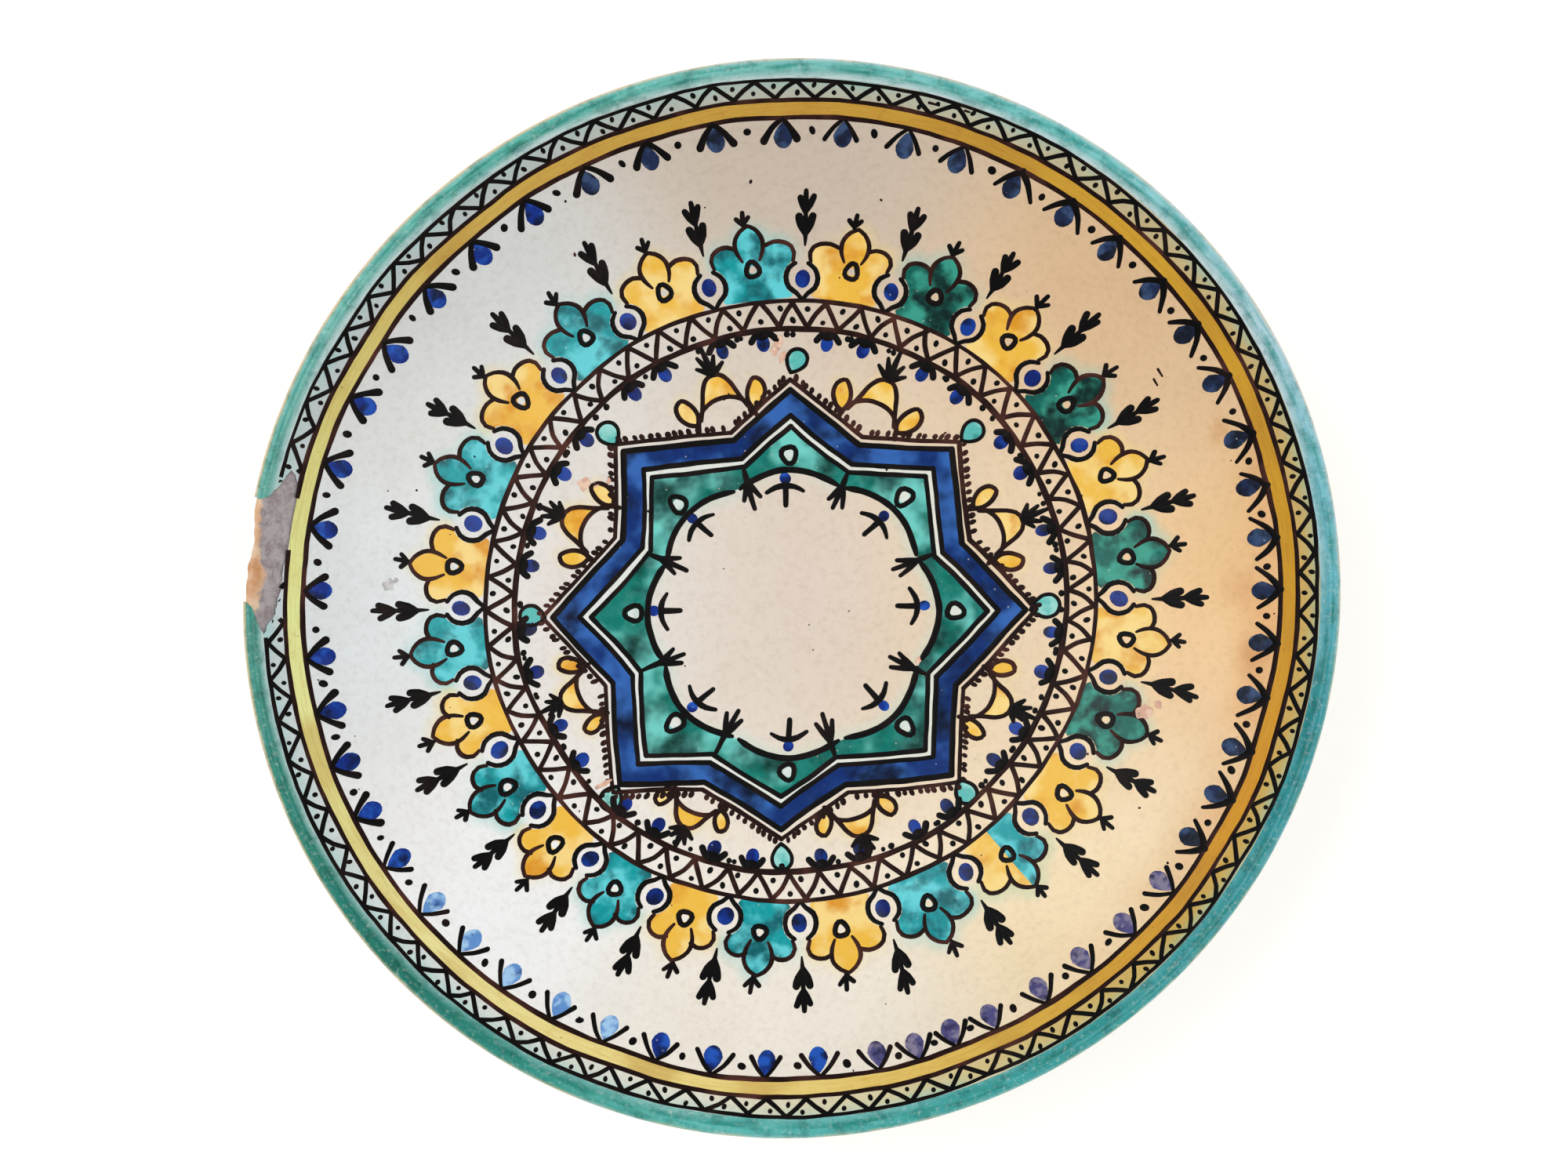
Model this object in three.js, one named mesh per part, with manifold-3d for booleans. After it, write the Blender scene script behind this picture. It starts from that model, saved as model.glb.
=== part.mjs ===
// A large hand-thrown, tin-glazed earthenware dish with a foot ring, a chipped lip and three painted
// colour bands. Millimetres, +Z up. The origin is under the middle of the dish, on the plane it stands on.
import * as THREE from "three";
import { mergeVertices } from "three/addons/utils/BufferGeometryUtils.js";
import Module from "manifold-3d";

const wasm = await Module();
wasm.setup();

// Driving dimensions
const RIM_RADIUS = 190; // mean radius of the dish over its lip
const HEIGHT = 70; // foot to lip
const OVAL_SHARE = 0.0105; // how much the long axis is over the mean, and the short axis under it
const OVAL_TURN = THREE.MathUtils.degToRad(21); // long axis, anticlockwise from +X
const FLOOR_TOP = 15.5; // top of the glaze at the middle
const WALL_POWER = 3.2; // how late the floor turns up into the wall
const FACE_RADIUS = 182.9; // where the white ground meets the turquoise of the lip
const LIP_RADIUS = 2.6; // roundness of the lip
const WALL_AT_LIP = 5.6;
const WALL_AT_FLOOR = 9.6;
const COAT = 1.2; // one fired coat of glaze
const INLAY = 0.4; // a painted colour that has sunk into the white
const GAP = 0.3; // kept between touching solids
const BASE_UNDERSIDE = 6.3; // height of the underside inside the foot ring
const FOOT = { inner: 68.3, outer: 81, top: 9, bearingInner: 70, bearingOuter: 78 };
const RIM_COAT_BACK = 177; // how far down the back the turquoise runs, as a face radius
const BACK_COAT_END = 83; // where the back glaze stops above the foot, as a face radius
const YELLOW_BAND = { inner: 171.3, outer: 176.8 };
const STAR_CENTRE = new THREE.Vector2(-1.1, -5.1); // the star was painted a little off the middle
const BLUE_BAND = { inner: 73.3, outer: 81.5 }; // radii of the star's tips
const GREEN_FIELD = { inner: 50, outer: 69 };
const SCALLOP_BULGE = 1.12; // how far each arc of the green field's inner edge swells
const AROUND = 52; // facets round the dish
const STAR_POINTS = 8;

// Two overlapping squares: the notch between two tips, as a share of the tip's radius.
const STAR_NOTCH = Math.cos(Math.PI / 4) / Math.cos(Math.PI / 8);
const LIP_CENTRE = new THREE.Vector2(RIM_RADIUS - LIP_RADIUS, HEIGHT - LIP_RADIUS);
const LIP_LEAN = THREE.MathUtils.degToRad(42); // slope of the wall where it meets the lip
const WALL_RISE =
  LIP_CENTRE.y +
  LIP_RADIUS * Math.cos(LIP_LEAN) -
  FLOOR_TOP -
  (LIP_CENTRE.x - LIP_RADIUS * Math.sin(LIP_LEAN) - FACE_RADIUS) * Math.tan(LIP_LEAN);

// A station is a point of the glazed surface in the (radius, height) plane, with the way into the clay.
function faceStation(radius) {
  const share = radius / FACE_RADIUS;
  const slope = Math.atan(((WALL_POWER * WALL_RISE) / FACE_RADIUS) * share ** (WALL_POWER - 1));
  const point = new THREE.Vector2(radius, FLOOR_TOP + WALL_RISE * share ** WALL_POWER);
  return { point, into: new THREE.Vector2(Math.sin(slope), -Math.cos(slope)) };
}

function lipStation(angle) {
  const out = new THREE.Vector2(Math.cos(angle), Math.sin(angle));
  const point = LIP_CENTRE.clone().addScaledVector(out, LIP_RADIUS);
  return { point, into: out.clone().negate() };
}

// The back follows the face at the thickness of the wall, which thins towards the lip.
function backStation(faceRadius) {
  const inside = faceStation(faceRadius);
  const wall = THREE.MathUtils.lerp(WALL_AT_FLOOR, WALL_AT_LIP, (faceRadius / FACE_RADIUS) ** 3);
  const point = inside.point.clone().addScaledVector(inside.into, wall);
  return { point, into: inside.into.clone().negate() };
}

const FACE_STOPS = [0, 50, 80, 105, 128, 148, 165];
const BACK_STOPS = [165, 148, 128, 105];
const LIP_TURNS = [132, 90, 45, 0, -46];
const face = FACE_STOPS.map(faceStation);
const wholeFace = [...face, faceStation(FACE_RADIUS)];
const back = BACK_STOPS.map(backStation);
const lip = LIP_TURNS.map((turn) => lipStation(THREE.MathUtils.degToRad(turn)));

function atDepth(stations, depth) {
  return stations.map(({ point, into }) => point.clone().addScaledVector(into, depth));
}

// A body turned about the dish's axis from a closed outline.
function turned(outline) {
  const profile = [...outline];
  if (THREE.ShapeUtils.area(profile) < 0) profile.reverse();
  const first = profile[0];
  const onAxis = first.x === 0 && profile[profile.length - 1].x === 0;
  if (!onAxis) profile.push(first.clone());
  return new THREE.LatheGeometry(profile, AROUND).rotateX(Math.PI / 2);
}

// A coat between two depths under the glazed surface.
function coat(stations, top, bottom) {
  return turned([...atDepth(stations, top), ...atDepth(stations, bottom).reverse()]);
}

function solid(geometry) {
  const bare = geometry.index ? geometry.toNonIndexed() : geometry.clone();
  bare.deleteAttribute("normal");
  bare.deleteAttribute("uv");
  const merged = mergeVertices(bare, 1e-4);
  return new wasm.Manifold(
    new wasm.Mesh({
      numProp: 3,
      vertProperties: merged.attributes.position.array,
      triVerts: new Uint32Array(merged.index.array),
    }),
  );
}

function geometryOf(body) {
  const mesh = body.getMesh();
  const geometry = new THREE.BufferGeometry();
  geometry.setAttribute("position", new THREE.BufferAttribute(mesh.vertProperties, 3));
  geometry.setIndex(new THREE.BufferAttribute(mesh.triVerts, 1));
  geometry.computeVertexNormals();
  return geometry;
}

function upright(shape, low, high) {
  const settings = { depth: high - low, bevelEnabled: false, curveSegments: 6 };
  return new THREE.ExtrudeGeometry(shape, settings).translate(0, 0, low);
}

function starOutline(tipRadius) {
  const corners = [];
  for (let i = 0; i < 2 * STAR_POINTS; i += 1) {
    const radius = i % 2 ? tipRadius * STAR_NOTCH : tipRadius;
    const angle = (i * Math.PI) / STAR_POINTS;
    const corner = new THREE.Vector2(Math.cos(angle), Math.sin(angle));
    corners.push(corner.multiplyScalar(radius).add(STAR_CENTRE));
  }
  return corners;
}

// A line moved outwards by the gap moves a star's tip, where two lines meet at 90 degrees, this much.
const TIP_GAP = GAP / Math.sin(Math.PI / 4);

function starBand(band, grow) {
  const shape = new THREE.Shape(starOutline(band.outer + grow * TIP_GAP));
  shape.holes.push(new THREE.Path(starOutline(band.inner - grow * TIP_GAP)));
  return solid(upright(shape, 0, HEIGHT));
}

// The inner edge of the green field is a scallop: eight arcs that meet under the star's notches.
function scallop(radius) {
  const path = new THREE.Path();
  for (let i = 0; i <= STAR_POINTS; i += 1) {
    const turn = ((2 * i + 1) * Math.PI) / STAR_POINTS;
    const middle = turn - Math.PI / STAR_POINTS;
    const end = new THREE.Vector2(Math.cos(turn), Math.sin(turn)).multiplyScalar(radius);
    const over = new THREE.Vector2(Math.cos(middle), Math.sin(middle));
    over.multiplyScalar(radius * SCALLOP_BULGE);
    end.add(STAR_CENTRE);
    over.add(STAR_CENTRE);
    if (i === 0) path.moveTo(end.x, end.y);
    else path.quadraticCurveTo(over.x, over.y, end.x, end.y);
  }
  return path;
}

function greenField(grow) {
  const shape = new THREE.Shape(starOutline(GREEN_FIELD.outer + grow * TIP_GAP));
  shape.holes.push(scallop(GREEN_FIELD.inner - grow * GAP));
  return solid(upright(shape, 0, HEIGHT));
}

function yellowRing(grow) {
  const inner = YELLOW_BAND.inner - grow * GAP;
  const outer = YELLOW_BAND.outer + grow * GAP;
  return solid(
    turned([
      new THREE.Vector2(inner, 0),
      new THREE.Vector2(outer, 0),
      new THREE.Vector2(outer, HEIGHT),
      new THREE.Vector2(inner, HEIGHT),
    ]),
  );
}

// Where glaze is lost at the chipped lip: clockwise degrees from +Y, and radius.
const LOST_GLAZE = [
  [284.4, 180.5],
  [282.3, 176.9],
  [277.4, 176.9],
  [272.9, 178.2],
  [269, 179.8],
  [266.6, 183.4],
  [269.4, 187],
  [270.7, 193],
  [281, 193],
  [281.3, 185.5],
];

// The clay under it is broken away at the lip itself.
const CHIP = { turn: 276.3, radius: 193.5, across: 20, deep: 6.2, tall: 9, height: 66 };

function placeOnDish(turnFromY, radius) {
  const angle = THREE.MathUtils.degToRad(90 - turnFromY);
  return new THREE.Vector2(Math.cos(angle), Math.sin(angle)).multiplyScalar(radius);
}

function lostGlaze() {
  const outline = LOST_GLAZE.map(([turn, radius]) => placeOnDish(turn, radius));
  return solid(upright(new THREE.Shape(outline), HEIGHT / 2, 2 * HEIGHT));
}

function chip() {
  const blob = new THREE.SphereGeometry(1, 16, 10).scale(CHIP.deep, CHIP.across, CHIP.tall);
  const centre = placeOnDish(CHIP.turn, CHIP.radius);
  blob.rotateZ(Math.atan2(centre.y, centre.x));
  return solid(blob.translate(centre.x, centre.y, CHIP.height));
}

function dishBody() {
  const under = [
    new THREE.Vector2(FOOT.outer + 0.8, FOOT.top + GAP),
    new THREE.Vector2(FOOT.inner - GAP, FOOT.top + GAP),
    new THREE.Vector2(FOOT.inner - GAP, BASE_UNDERSIDE),
    new THREE.Vector2(0, BASE_UNDERSIDE),
  ];
  const clay = [...face, faceStation(FACE_RADIUS), ...lip, backStation(FACE_RADIUS), ...back];
  const outline = atDepth([...clay, backStation(BACK_COAT_END)], COAT + GAP);
  return geometryOf(solid(turned([...outline, ...under])).subtract(chip()));
}

function footRing() {
  return turned([
    new THREE.Vector2(FOOT.bearingInner, 0),
    new THREE.Vector2(FOOT.bearingOuter, 0),
    new THREE.Vector2(FOOT.bearingOuter + 1.3, 1.6),
    new THREE.Vector2(FOOT.outer, FOOT.top),
    new THREE.Vector2(FOOT.inner, FOOT.top),
    new THREE.Vector2(FOOT.inner + 0.5, 1.4),
  ]);
}

// The white ground has a shallow recess for each colour that sank into it.
function faceGlaze() {
  const ground = solid(coat(wholeFace, 0, COAT));
  const skin = solid(coat(wholeFace, -COAT, INLAY + GAP));
  const colours = starBand(BLUE_BAND, 1).add(greenField(1)).add(yellowRing(1));
  return geometryOf(ground.subtract(skin.intersect(colours)).subtract(lostGlaze()));
}

function rimGlaze() {
  const start = faceStation(FACE_RADIUS + GAP);
  const stations = [start, ...lip, backStation(FACE_RADIUS), backStation(RIM_COAT_BACK)];
  return geometryOf(solid(coat(stations, 0, COAT)).subtract(lostGlaze()));
}

function backGlaze() {
  const stations = [backStation(RIM_COAT_BACK - GAP), ...back, backStation(BACK_COAT_END)];
  return coat(stations, 0, COAT);
}

function inlaid(outline) {
  return geometryOf(solid(coat(wholeFace, 0, INLAY)).intersect(outline));
}

function piece(name, geometry, colour, roughness) {
  const material = new THREE.MeshStandardMaterial({ color: colour, roughness, metalness: 0 });
  const mesh = new THREE.Mesh(geometry, material);
  mesh.name = name;
  return mesh;
}

// The dish is slightly oval along a line turned from +X. The inner group turns the painting back upright.
const painted = new THREE.Group();
painted.rotation.z = -OVAL_TURN;
painted.add(
  piece("dish_body", dishBody(), 0xc98f62, 0.9),
  piece("foot_ring", footRing(), 0xc08a60, 0.92),
  piece("back_glaze", backGlaze(), 0xe6dcc6, 0.3),
  piece("face_glaze", faceGlaze(), 0xe9e2d6, 0.2),
  piece("rim_glaze", rimGlaze(), 0x2e9e8f, 0.2),
  piece("yellow_band", inlaid(yellowRing(0)), 0xd9b23a, 0.25),
  piece("blue_star_band", inlaid(starBand(BLUE_BAND, 0)), 0x1e3f9c, 0.22),
  piece("green_star_field", inlaid(greenField(0)), 0x0f7a5c, 0.22),
);

const dish = new THREE.Group();
dish.rotation.z = OVAL_TURN;
dish.scale.set(1 + OVAL_SHARE, 1 - OVAL_SHARE, 1);
dish.add(painted);

const root = new THREE.Group();
root.add(dish);

export default root;
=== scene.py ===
"""A large hand painted, tin glazed earthenware dish: clay, glaze coats and every painted stroke.

Painting is laid out flat, in millimetres, with turns in degrees clockwise from +Y, and is then
settled on the curve of the dish in one step. Everything ends in metres in the frame of the CAD.
"""

import math
import random

import bpy
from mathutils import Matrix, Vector, kdtree, noise


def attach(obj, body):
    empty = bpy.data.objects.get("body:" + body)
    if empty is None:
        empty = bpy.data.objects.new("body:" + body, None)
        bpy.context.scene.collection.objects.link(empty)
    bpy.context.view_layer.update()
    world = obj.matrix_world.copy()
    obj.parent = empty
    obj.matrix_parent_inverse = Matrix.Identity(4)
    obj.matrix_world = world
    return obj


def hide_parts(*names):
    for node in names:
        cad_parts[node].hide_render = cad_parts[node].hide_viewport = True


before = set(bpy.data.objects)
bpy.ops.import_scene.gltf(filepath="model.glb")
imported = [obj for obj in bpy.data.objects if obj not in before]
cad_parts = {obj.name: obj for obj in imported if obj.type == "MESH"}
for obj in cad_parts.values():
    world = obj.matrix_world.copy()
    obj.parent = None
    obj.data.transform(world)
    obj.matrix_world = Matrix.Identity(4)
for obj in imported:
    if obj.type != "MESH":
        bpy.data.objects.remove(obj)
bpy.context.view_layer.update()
hand_luck = random.Random(11)

# The dish, in millimetres
MM = 0.001
RIM_RADIUS = 190.0
RIM_HEIGHT = 70.0
OVAL_SHARE = 0.0105
OVAL_TURN = math.radians(21)
FLOOR_TOP = 15.5
WALL_POWER = 3.2
FACE_RADIUS = 182.9
LIP_RADIUS = 2.6
LIP_LEAN = math.radians(42)
WALL_AT_LIP = 5.6
WALL_AT_FLOOR = 9.6
COAT = 0.9
LIP_CENTRE = (RIM_RADIUS - LIP_RADIUS, RIM_HEIGHT - LIP_RADIUS)
WALL_RISE = (
    LIP_CENTRE[1]
    + LIP_RADIUS * math.cos(LIP_LEAN)
    - FLOOR_TOP
    - (LIP_CENTRE[0] - LIP_RADIUS * math.sin(LIP_LEAN) - FACE_RADIUS) * math.tan(LIP_LEAN)
)

# Where the painter stood each ring
MIDDLE = (0.0, 0.0)
WREATH = (-0.4, -0.9)
STAR = (-1.1, -5.1)
RING_OUT = 109.2
RING_IN = 99.0
YELLOW_OUT = 176.2
YELLOW_IN = 170.6

# The star's blue band, tip and notch by turns: turn and reach of its outer corners
STAR_CORNERS = [
    (0.1, 81.2), (22.8, 65.9), (44.8, 82.7), (68.6, 66.8), (89.8, 85.0), (114.1, 66.3), (135.4, 84.3), (161.7, 66.6),
    (181.4, 79.9), (205.9, 68.8), (223.8, 86.2), (248.1, 67.8), (268.9, 84.6), (293.8, 65.3), (314.5, 83.8),
    (342.3, 65.9),
]
BLUE_WIDE = 7.1
WHITE_WIDE = 3.0
BROWN_AWAY = 2.8

# Glaze is lost here at the lip: turn and radius
LOST_GLAZE = [
    (284.9, 180.0), (283.6, 177.0), (281.0, 175.9), (277.0, 176.0), (272.9, 177.4), (268.6, 179.4),
    (266.4, 183.4), (269.4, 186.6), (270.7, 193.0), (281.0, 193.0), (281.3, 185.5),
]


# ---------------------------------------------------------------- places on the dish

def face_height(radius):
    return FLOOR_TOP + WALL_RISE * (radius / FACE_RADIUS) ** WALL_POWER


def face_lean(radius):
    share = (radius / FACE_RADIUS) ** (WALL_POWER - 1)
    return math.atan(WALL_POWER * WALL_RISE / FACE_RADIUS * share)


def face_point(radius, depth=0.0):
    lean = face_lean(radius)
    return (radius + depth * math.sin(lean), face_height(radius) - depth * math.cos(lean))


def lip_point(degrees, depth=0.0):
    turn = math.radians(degrees)
    reach = LIP_RADIUS - depth
    return (LIP_CENTRE[0] + reach * math.cos(turn), LIP_CENTRE[1] + reach * math.sin(turn))


def back_point(radius, depth=0.0):
    share = (radius / FACE_RADIUS) ** 3
    wall = WALL_AT_FLOOR + (WALL_AT_LIP - WALL_AT_FLOOR) * share
    return face_point(radius, wall - depth)


def oval(x, y, z):
    """A millimetre point of the round dish on the slightly oval one, in metres."""
    c = math.cos(OVAL_TURN)
    s = math.sin(OVAL_TURN)
    along = (x * c + y * s) * (1 + OVAL_SHARE)
    aside = (y * c - x * s) * (1 - OVAL_SHARE)
    return Vector((along * c - aside * s, along * s + aside * c, z)) * MM


def hand(x, y):
    """The painter's hand strays a little from the plan."""
    slow = noise.noise_vector(Vector((x / 31, y / 31, 4.2)))
    quick = noise.noise_vector(Vector((x / 6, y / 6, 9.6)))
    return x + 0.7 * slow.x + 0.2 * quick.x, y + 0.7 * slow.y + 0.2 * quick.y


def on_dish(x, y, above):
    radius = math.hypot(x, y)
    lean = face_lean(radius)
    tilt = above * math.sin(lean) / max(radius, 1e-6)
    return oval(x - x * tilt, y - y * tilt, face_height(radius) + above * math.cos(lean))


def at(centre, turn, out, across=0.0):
    """The plan point out from a centre at a turn, then across it clockwise."""
    a = math.radians(turn)
    x = centre[0] + math.sin(a) * out + math.cos(a) * across
    y = centre[1] + math.cos(a) * out - math.sin(a) * across
    return (x, y)


def pace(start, steps):
    """Turns of a row of motifs, from how many follow at which step."""
    turns = [start]
    for count, step in steps:
        for _ in range(count):
            turns.append(turns[-1] + step)
    return turns


LOST_PLAN = [at(MIDDLE, turn, radius) for turn, radius in LOST_GLAZE]


def inside(point, outline):
    x, y = point
    within = False
    for (ax, ay), (bx, by) in zip(outline, outline[1:] + outline[:1]):
        if (ay > y) != (by > y) and x < (bx - ax) * (y - ay) / (by - ay) + ax:
            within = not within
    return within


# ---------------------------------------------------------------- making pieces

def only(piece):
    bpy.ops.object.select_all(action="DESELECT")
    piece.select_set(True)
    bpy.context.view_layer.objects.active = piece


def thrown(name, profile, around):
    """A form turned on the wheel from its outline of radius and height, in millimetres."""
    bpy.ops.object.select_all(action="DESELECT")
    bpy.ops.mesh.primitive_plane_add(size=1)
    piece = bpy.context.object
    piece.name = name
    piece.data.name = name
    bpy.ops.object.mode_set(mode="EDIT")
    bpy.ops.mesh.select_all(action="SELECT")
    bpy.ops.mesh.merge(type="CENTER")
    radius, height = profile[0]
    bpy.ops.transform.translate(value=(radius, 0, height))
    for next_radius, next_height in profile[1:]:
        move = (next_radius - radius, 0, next_height - height)
        bpy.ops.mesh.extrude_region_move(TRANSFORM_OT_translate={"value": move})
        radius, height = next_radius, next_height
    bpy.ops.mesh.select_all(action="SELECT")
    bpy.ops.mesh.spin(steps=around, angle=math.tau, center=(0, 0, 0), axis=(0, 0, 1))
    bpy.ops.mesh.select_all(action="SELECT")
    bpy.ops.mesh.remove_doubles(threshold=0.01)
    bpy.ops.mesh.normals_make_consistent(inside=False)
    bpy.ops.object.mode_set(mode="OBJECT")
    return piece


def take_away(piece, cutter):
    cut = piece.modifiers.new("lost", "BOOLEAN")
    cut.operation = "DIFFERENCE"
    cut.solver = "EXACT"
    cut.object = cutter
    only(piece)
    bpy.ops.object.modifier_apply(modifier=cut.name)


def place_round(piece):
    for vertex in piece.data.vertices:
        vertex.co = oval(*vertex.co)


def smooth(piece, degrees=40):
    only(piece)
    bpy.ops.object.shade_smooth_by_angle(angle=math.radians(degrees))


def declare(piece, glaze, slot, *nodes):
    piece.data.materials.clear()
    piece.data.materials.append(glaze)
    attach(piece, "root")
    if nodes:
        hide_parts(*nodes)


def curve_of(name, lines, closed):
    """A curve object of many lines of (x, y, half width)."""
    curve = bpy.data.curves.new(name, "CURVE")
    curve.dimensions = "2D" if closed else "3D"
    for line in lines:
        spline = curve.splines.new("POLY")
        spline.points.add(len(line) - 1)
        spline.use_cyclic_u = closed
        for point, (x, y, half) in zip(spline.points, line):
            point.co = (x, y, 0, 1)
            point.radius = half
    piece = bpy.data.objects.new(name, curve)
    bpy.context.collection.objects.link(piece)
    return piece


def paint(name, strokes, glaze, slot, lift=0.06, relief=0.12):
    """Brush strokes as low beads of colour on the glaze."""
    kept = [part for line in strokes for part in outside_loss(line)]
    piece = curve_of(name, kept, False)
    piece.data.twist_mode = "Z_UP"
    piece.data.bevel_depth = 1.0
    piece.data.bevel_resolution = 1
    piece.data.use_fill_caps = True
    only(piece)
    bpy.ops.object.convert(target="MESH")
    piece = bpy.context.object
    close_doubles(piece)
    for vertex in piece.data.vertices:
        x, y = hand(vertex.co.x, vertex.co.y)
        vertex.co = on_dish(x, y, lift + relief * vertex.co.z)
    smooth(piece, 50)
    declare(piece, glaze, slot)
    return piece


def flood(name, shapes, glaze, slot, thick=0.045, lift=0.0, grid=4.0, nodes=()):
    """Areas brushed full of colour. Each shape is its outline and then its holes."""
    lines = [[(x, y, 1.0) for x, y in outline] for shape in shapes for outline in shape]
    piece = curve_of(name, lines, True)
    piece.data.fill_mode = "BOTH"
    piece.data.extrude = thick
    only(piece)
    bpy.ops.object.convert(target="MESH")
    piece = bpy.context.object
    close_doubles(piece)
    xs = [vertex.co.x for vertex in piece.data.vertices]
    ys = [vertex.co.y for vertex in piece.data.vertices]
    bpy.ops.object.mode_set(mode="EDIT")
    for low, high, axis in ((min(xs), max(xs), (1, 0, 0)), (min(ys), max(ys), (0, 1, 0))):
        for step in range(int(low // grid) + 1, int(high // grid) + 1):
            bpy.ops.mesh.select_all(action="SELECT")
            bpy.ops.mesh.bisect(plane_co=[share * (step * grid + 0.03) for share in axis], plane_no=axis)
    bpy.ops.object.mode_set(mode="OBJECT")
    for vertex in piece.data.vertices:
        x, y = hand(vertex.co.x, vertex.co.y)
        vertex.co = on_dish(x, y, lift + vertex.co.z)
    smooth(piece, 50)
    declare(piece, glaze, slot, *nodes)
    return piece


def close_doubles(piece):
    only(piece)
    bpy.ops.object.mode_set(mode="EDIT")
    bpy.ops.mesh.select_all(action="SELECT")
    bpy.ops.mesh.remove_doubles(threshold=0.001)
    bpy.ops.mesh.normals_make_consistent(inside=False)
    bpy.ops.object.mode_set(mode="OBJECT")


# ---------------------------------------------------------------- brush strokes

def outside_loss(line):
    """The parts of a stroke that the lost glaze didn't take."""
    parts = [[]]
    for x, y, half in line:
        if inside((x, y), LOST_PLAN):
            parts.append([])
        else:
            parts[-1].append((x, y, half))
    return [part for part in parts if len(part) > 1]


def curved(points, step):
    """Points and widths along a smooth line through the given ones."""
    run = []
    last = len(points) - 1
    for i in range(last):
        before = points[max(i - 1, 0)]
        start = points[i]
        end = points[i + 1]
        after = points[min(i + 2, last)]
        pieces = max(1, round(math.hypot(end[0] - start[0], end[1] - start[1]) / step))
        for k in range(pieces):
            t = k / pieces
            run.append(tuple(
                0.5 * (2 * b + (c - a) * t + (2 * a - 5 * b + 4 * c - d) * t * t
                       + (3 * b - a - 3 * c + d) * t ** 3)
                for a, b, c, d in zip(before, start, end, after)
            ))
    return run + [points[-1]]


def stroke(points, width, step=1.6, uneven=0.1):
    """A brush stroke with round ends. The width is one number, or one for each point."""
    widths = width if isinstance(width, (list, tuple)) else [width] * len(points)
    run = curved([(x, y, w / 2) for (x, y), w in zip(points, widths)], step)
    luck = hand_luck.random() * 99
    line = []
    for i, (x, y, half) in enumerate(run):
        half *= 1 + uneven * noise.noise(Vector((i * 0.45, luck, 0)))
        line.append((x, y, max(half, 0.08)))
    return round_end(line[1], line[0])[::-1] + line + round_end(line[-2], line[-1])


def round_end(before, end):
    """Two narrowing points past the end of a stroke."""
    dx, dy = end[0] - before[0], end[1] - before[1]
    long = max(math.hypot(dx, dy), 1e-6)
    half = end[2]
    return [
        (end[0] + dx / long * half * reach, end[1] + dy / long * half * reach, half * share)
        for reach, share in ((0.6, 0.8), (0.95, 0.3))
    ]


def dab(spot, across, along, turn=0.0):
    """A round or egg-shaped touch of the brush; its length points along the turn."""
    a = math.radians(turn)
    across *= hand_luck.uniform(0.92, 1.08)
    line = []
    for share in (-0.97, -0.8, -0.45, 0.0, 0.45, 0.8, 0.97):
        x = spot[0] + math.sin(a) * along * share
        y = spot[1] + math.cos(a) * along * share
        line.append((x, y, across * math.sqrt(1 - share * share)))
    return line


def drop(spot, across, along, turn, point=0.6):
    """A touch of the brush that ends in a point at its far end."""
    a = math.radians(turn)
    line = []
    for share in (-0.98, -0.85, -0.55, -0.15, 0.3, 0.65, 0.98):
        x = spot[0] + math.sin(a) * along * share
        y = spot[1] + math.cos(a) * along * share
        taper = 1 - point * max(share + 0.15, 0) / 1.15
        line.append((x, y, across * math.sqrt(1 - share * share) * taper))
    return line


def ring_line(centre, radius, width, stray=0.25):
    """A line drawn with the dish turning under the brush."""
    line = []
    for i in range(361):
        turn = i % 360
        sway = noise.noise(Vector((math.sin(math.radians(turn)) * 3, math.cos(math.radians(turn)) * 3, radius)))
        swell = noise.noise(Vector((math.sin(math.radians(turn)) * 9, math.cos(math.radians(turn)) * 9, radius)))
        x, y = at(centre, turn, radius + stray * sway)
        line.append((x, y, width / 2 * (1 + 0.25 * swell)))
    return line


def loop(points, step=1.2):
    """A closed outline through the given points, for a flood of colour."""
    whole = [(x, y, 1.0) for x, y in points]
    count = len(whole)
    run = curved(whole[-2:] + whole + whole[:3], step)
    start = next(i for i, p in enumerate(run) if p[:2] == whole[0][:2] and i > 0)
    end = next(i for i, p in enumerate(run) if i > start + count / 2 and p[:2] == whole[0][:2])
    return [(x, y) for x, y, _ in run[start:end]]


# ---------------------------------------------------------------- glazes

def tone(red, green, blue):
    """A colour given on the 0 to 255 scale, as the linear colour that a shader takes."""
    linear = []
    for value in (red, green, blue):
        share = value / 255
        linear.append(share / 12.92 if share <= 0.04045 else ((share + 0.055) / 1.055) ** 2.4)
    return (*linear, 1.0)


def new_node(tree, kind, values=None, **settings):
    made = tree.nodes.new(kind)
    for name, value in settings.items():
        setattr(made, name, value)
    for name, value in (values or {}).items():
        if isinstance(value, bpy.types.NodeSocket):
            tree.links.new(value, made.inputs[name])
        else:
            made.inputs[name].default_value = value
    return made


def mix_colour(tree, share, first, second, how="MIX"):
    made = new_node(tree, "ShaderNodeMix", {0: share, 6: first, 7: second}, data_type="RGBA", blend_type=how)
    return made.outputs[2]


def span(tree, value, low, high, to_low=0.0, to_high=1.0):
    made = new_node(
        tree, "ShaderNodeMapRange",
        {"Value": value, "From Min": low, "From Max": high, "To Min": to_low, "To Max": to_high},
        interpolation_type="SMOOTHSTEP",
    )
    return made.outputs["Result"]


def sums(tree, how, first, second=0.0):
    return new_node(tree, "ShaderNodeMath", {0: first, 1: second}, operation=how).outputs[0]


def cloud(tree, place, scale, detail=3.0, rough=0.55):
    return new_node(
        tree, "ShaderNodeTexNoise",
        {"Vector": place, "Scale": scale, "Detail": detail, "Roughness": rough},
    ).outputs["Fac"]


def spot_in(tree):
    return new_node(tree, "ShaderNodeTexCoord").outputs["Object"]


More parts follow.
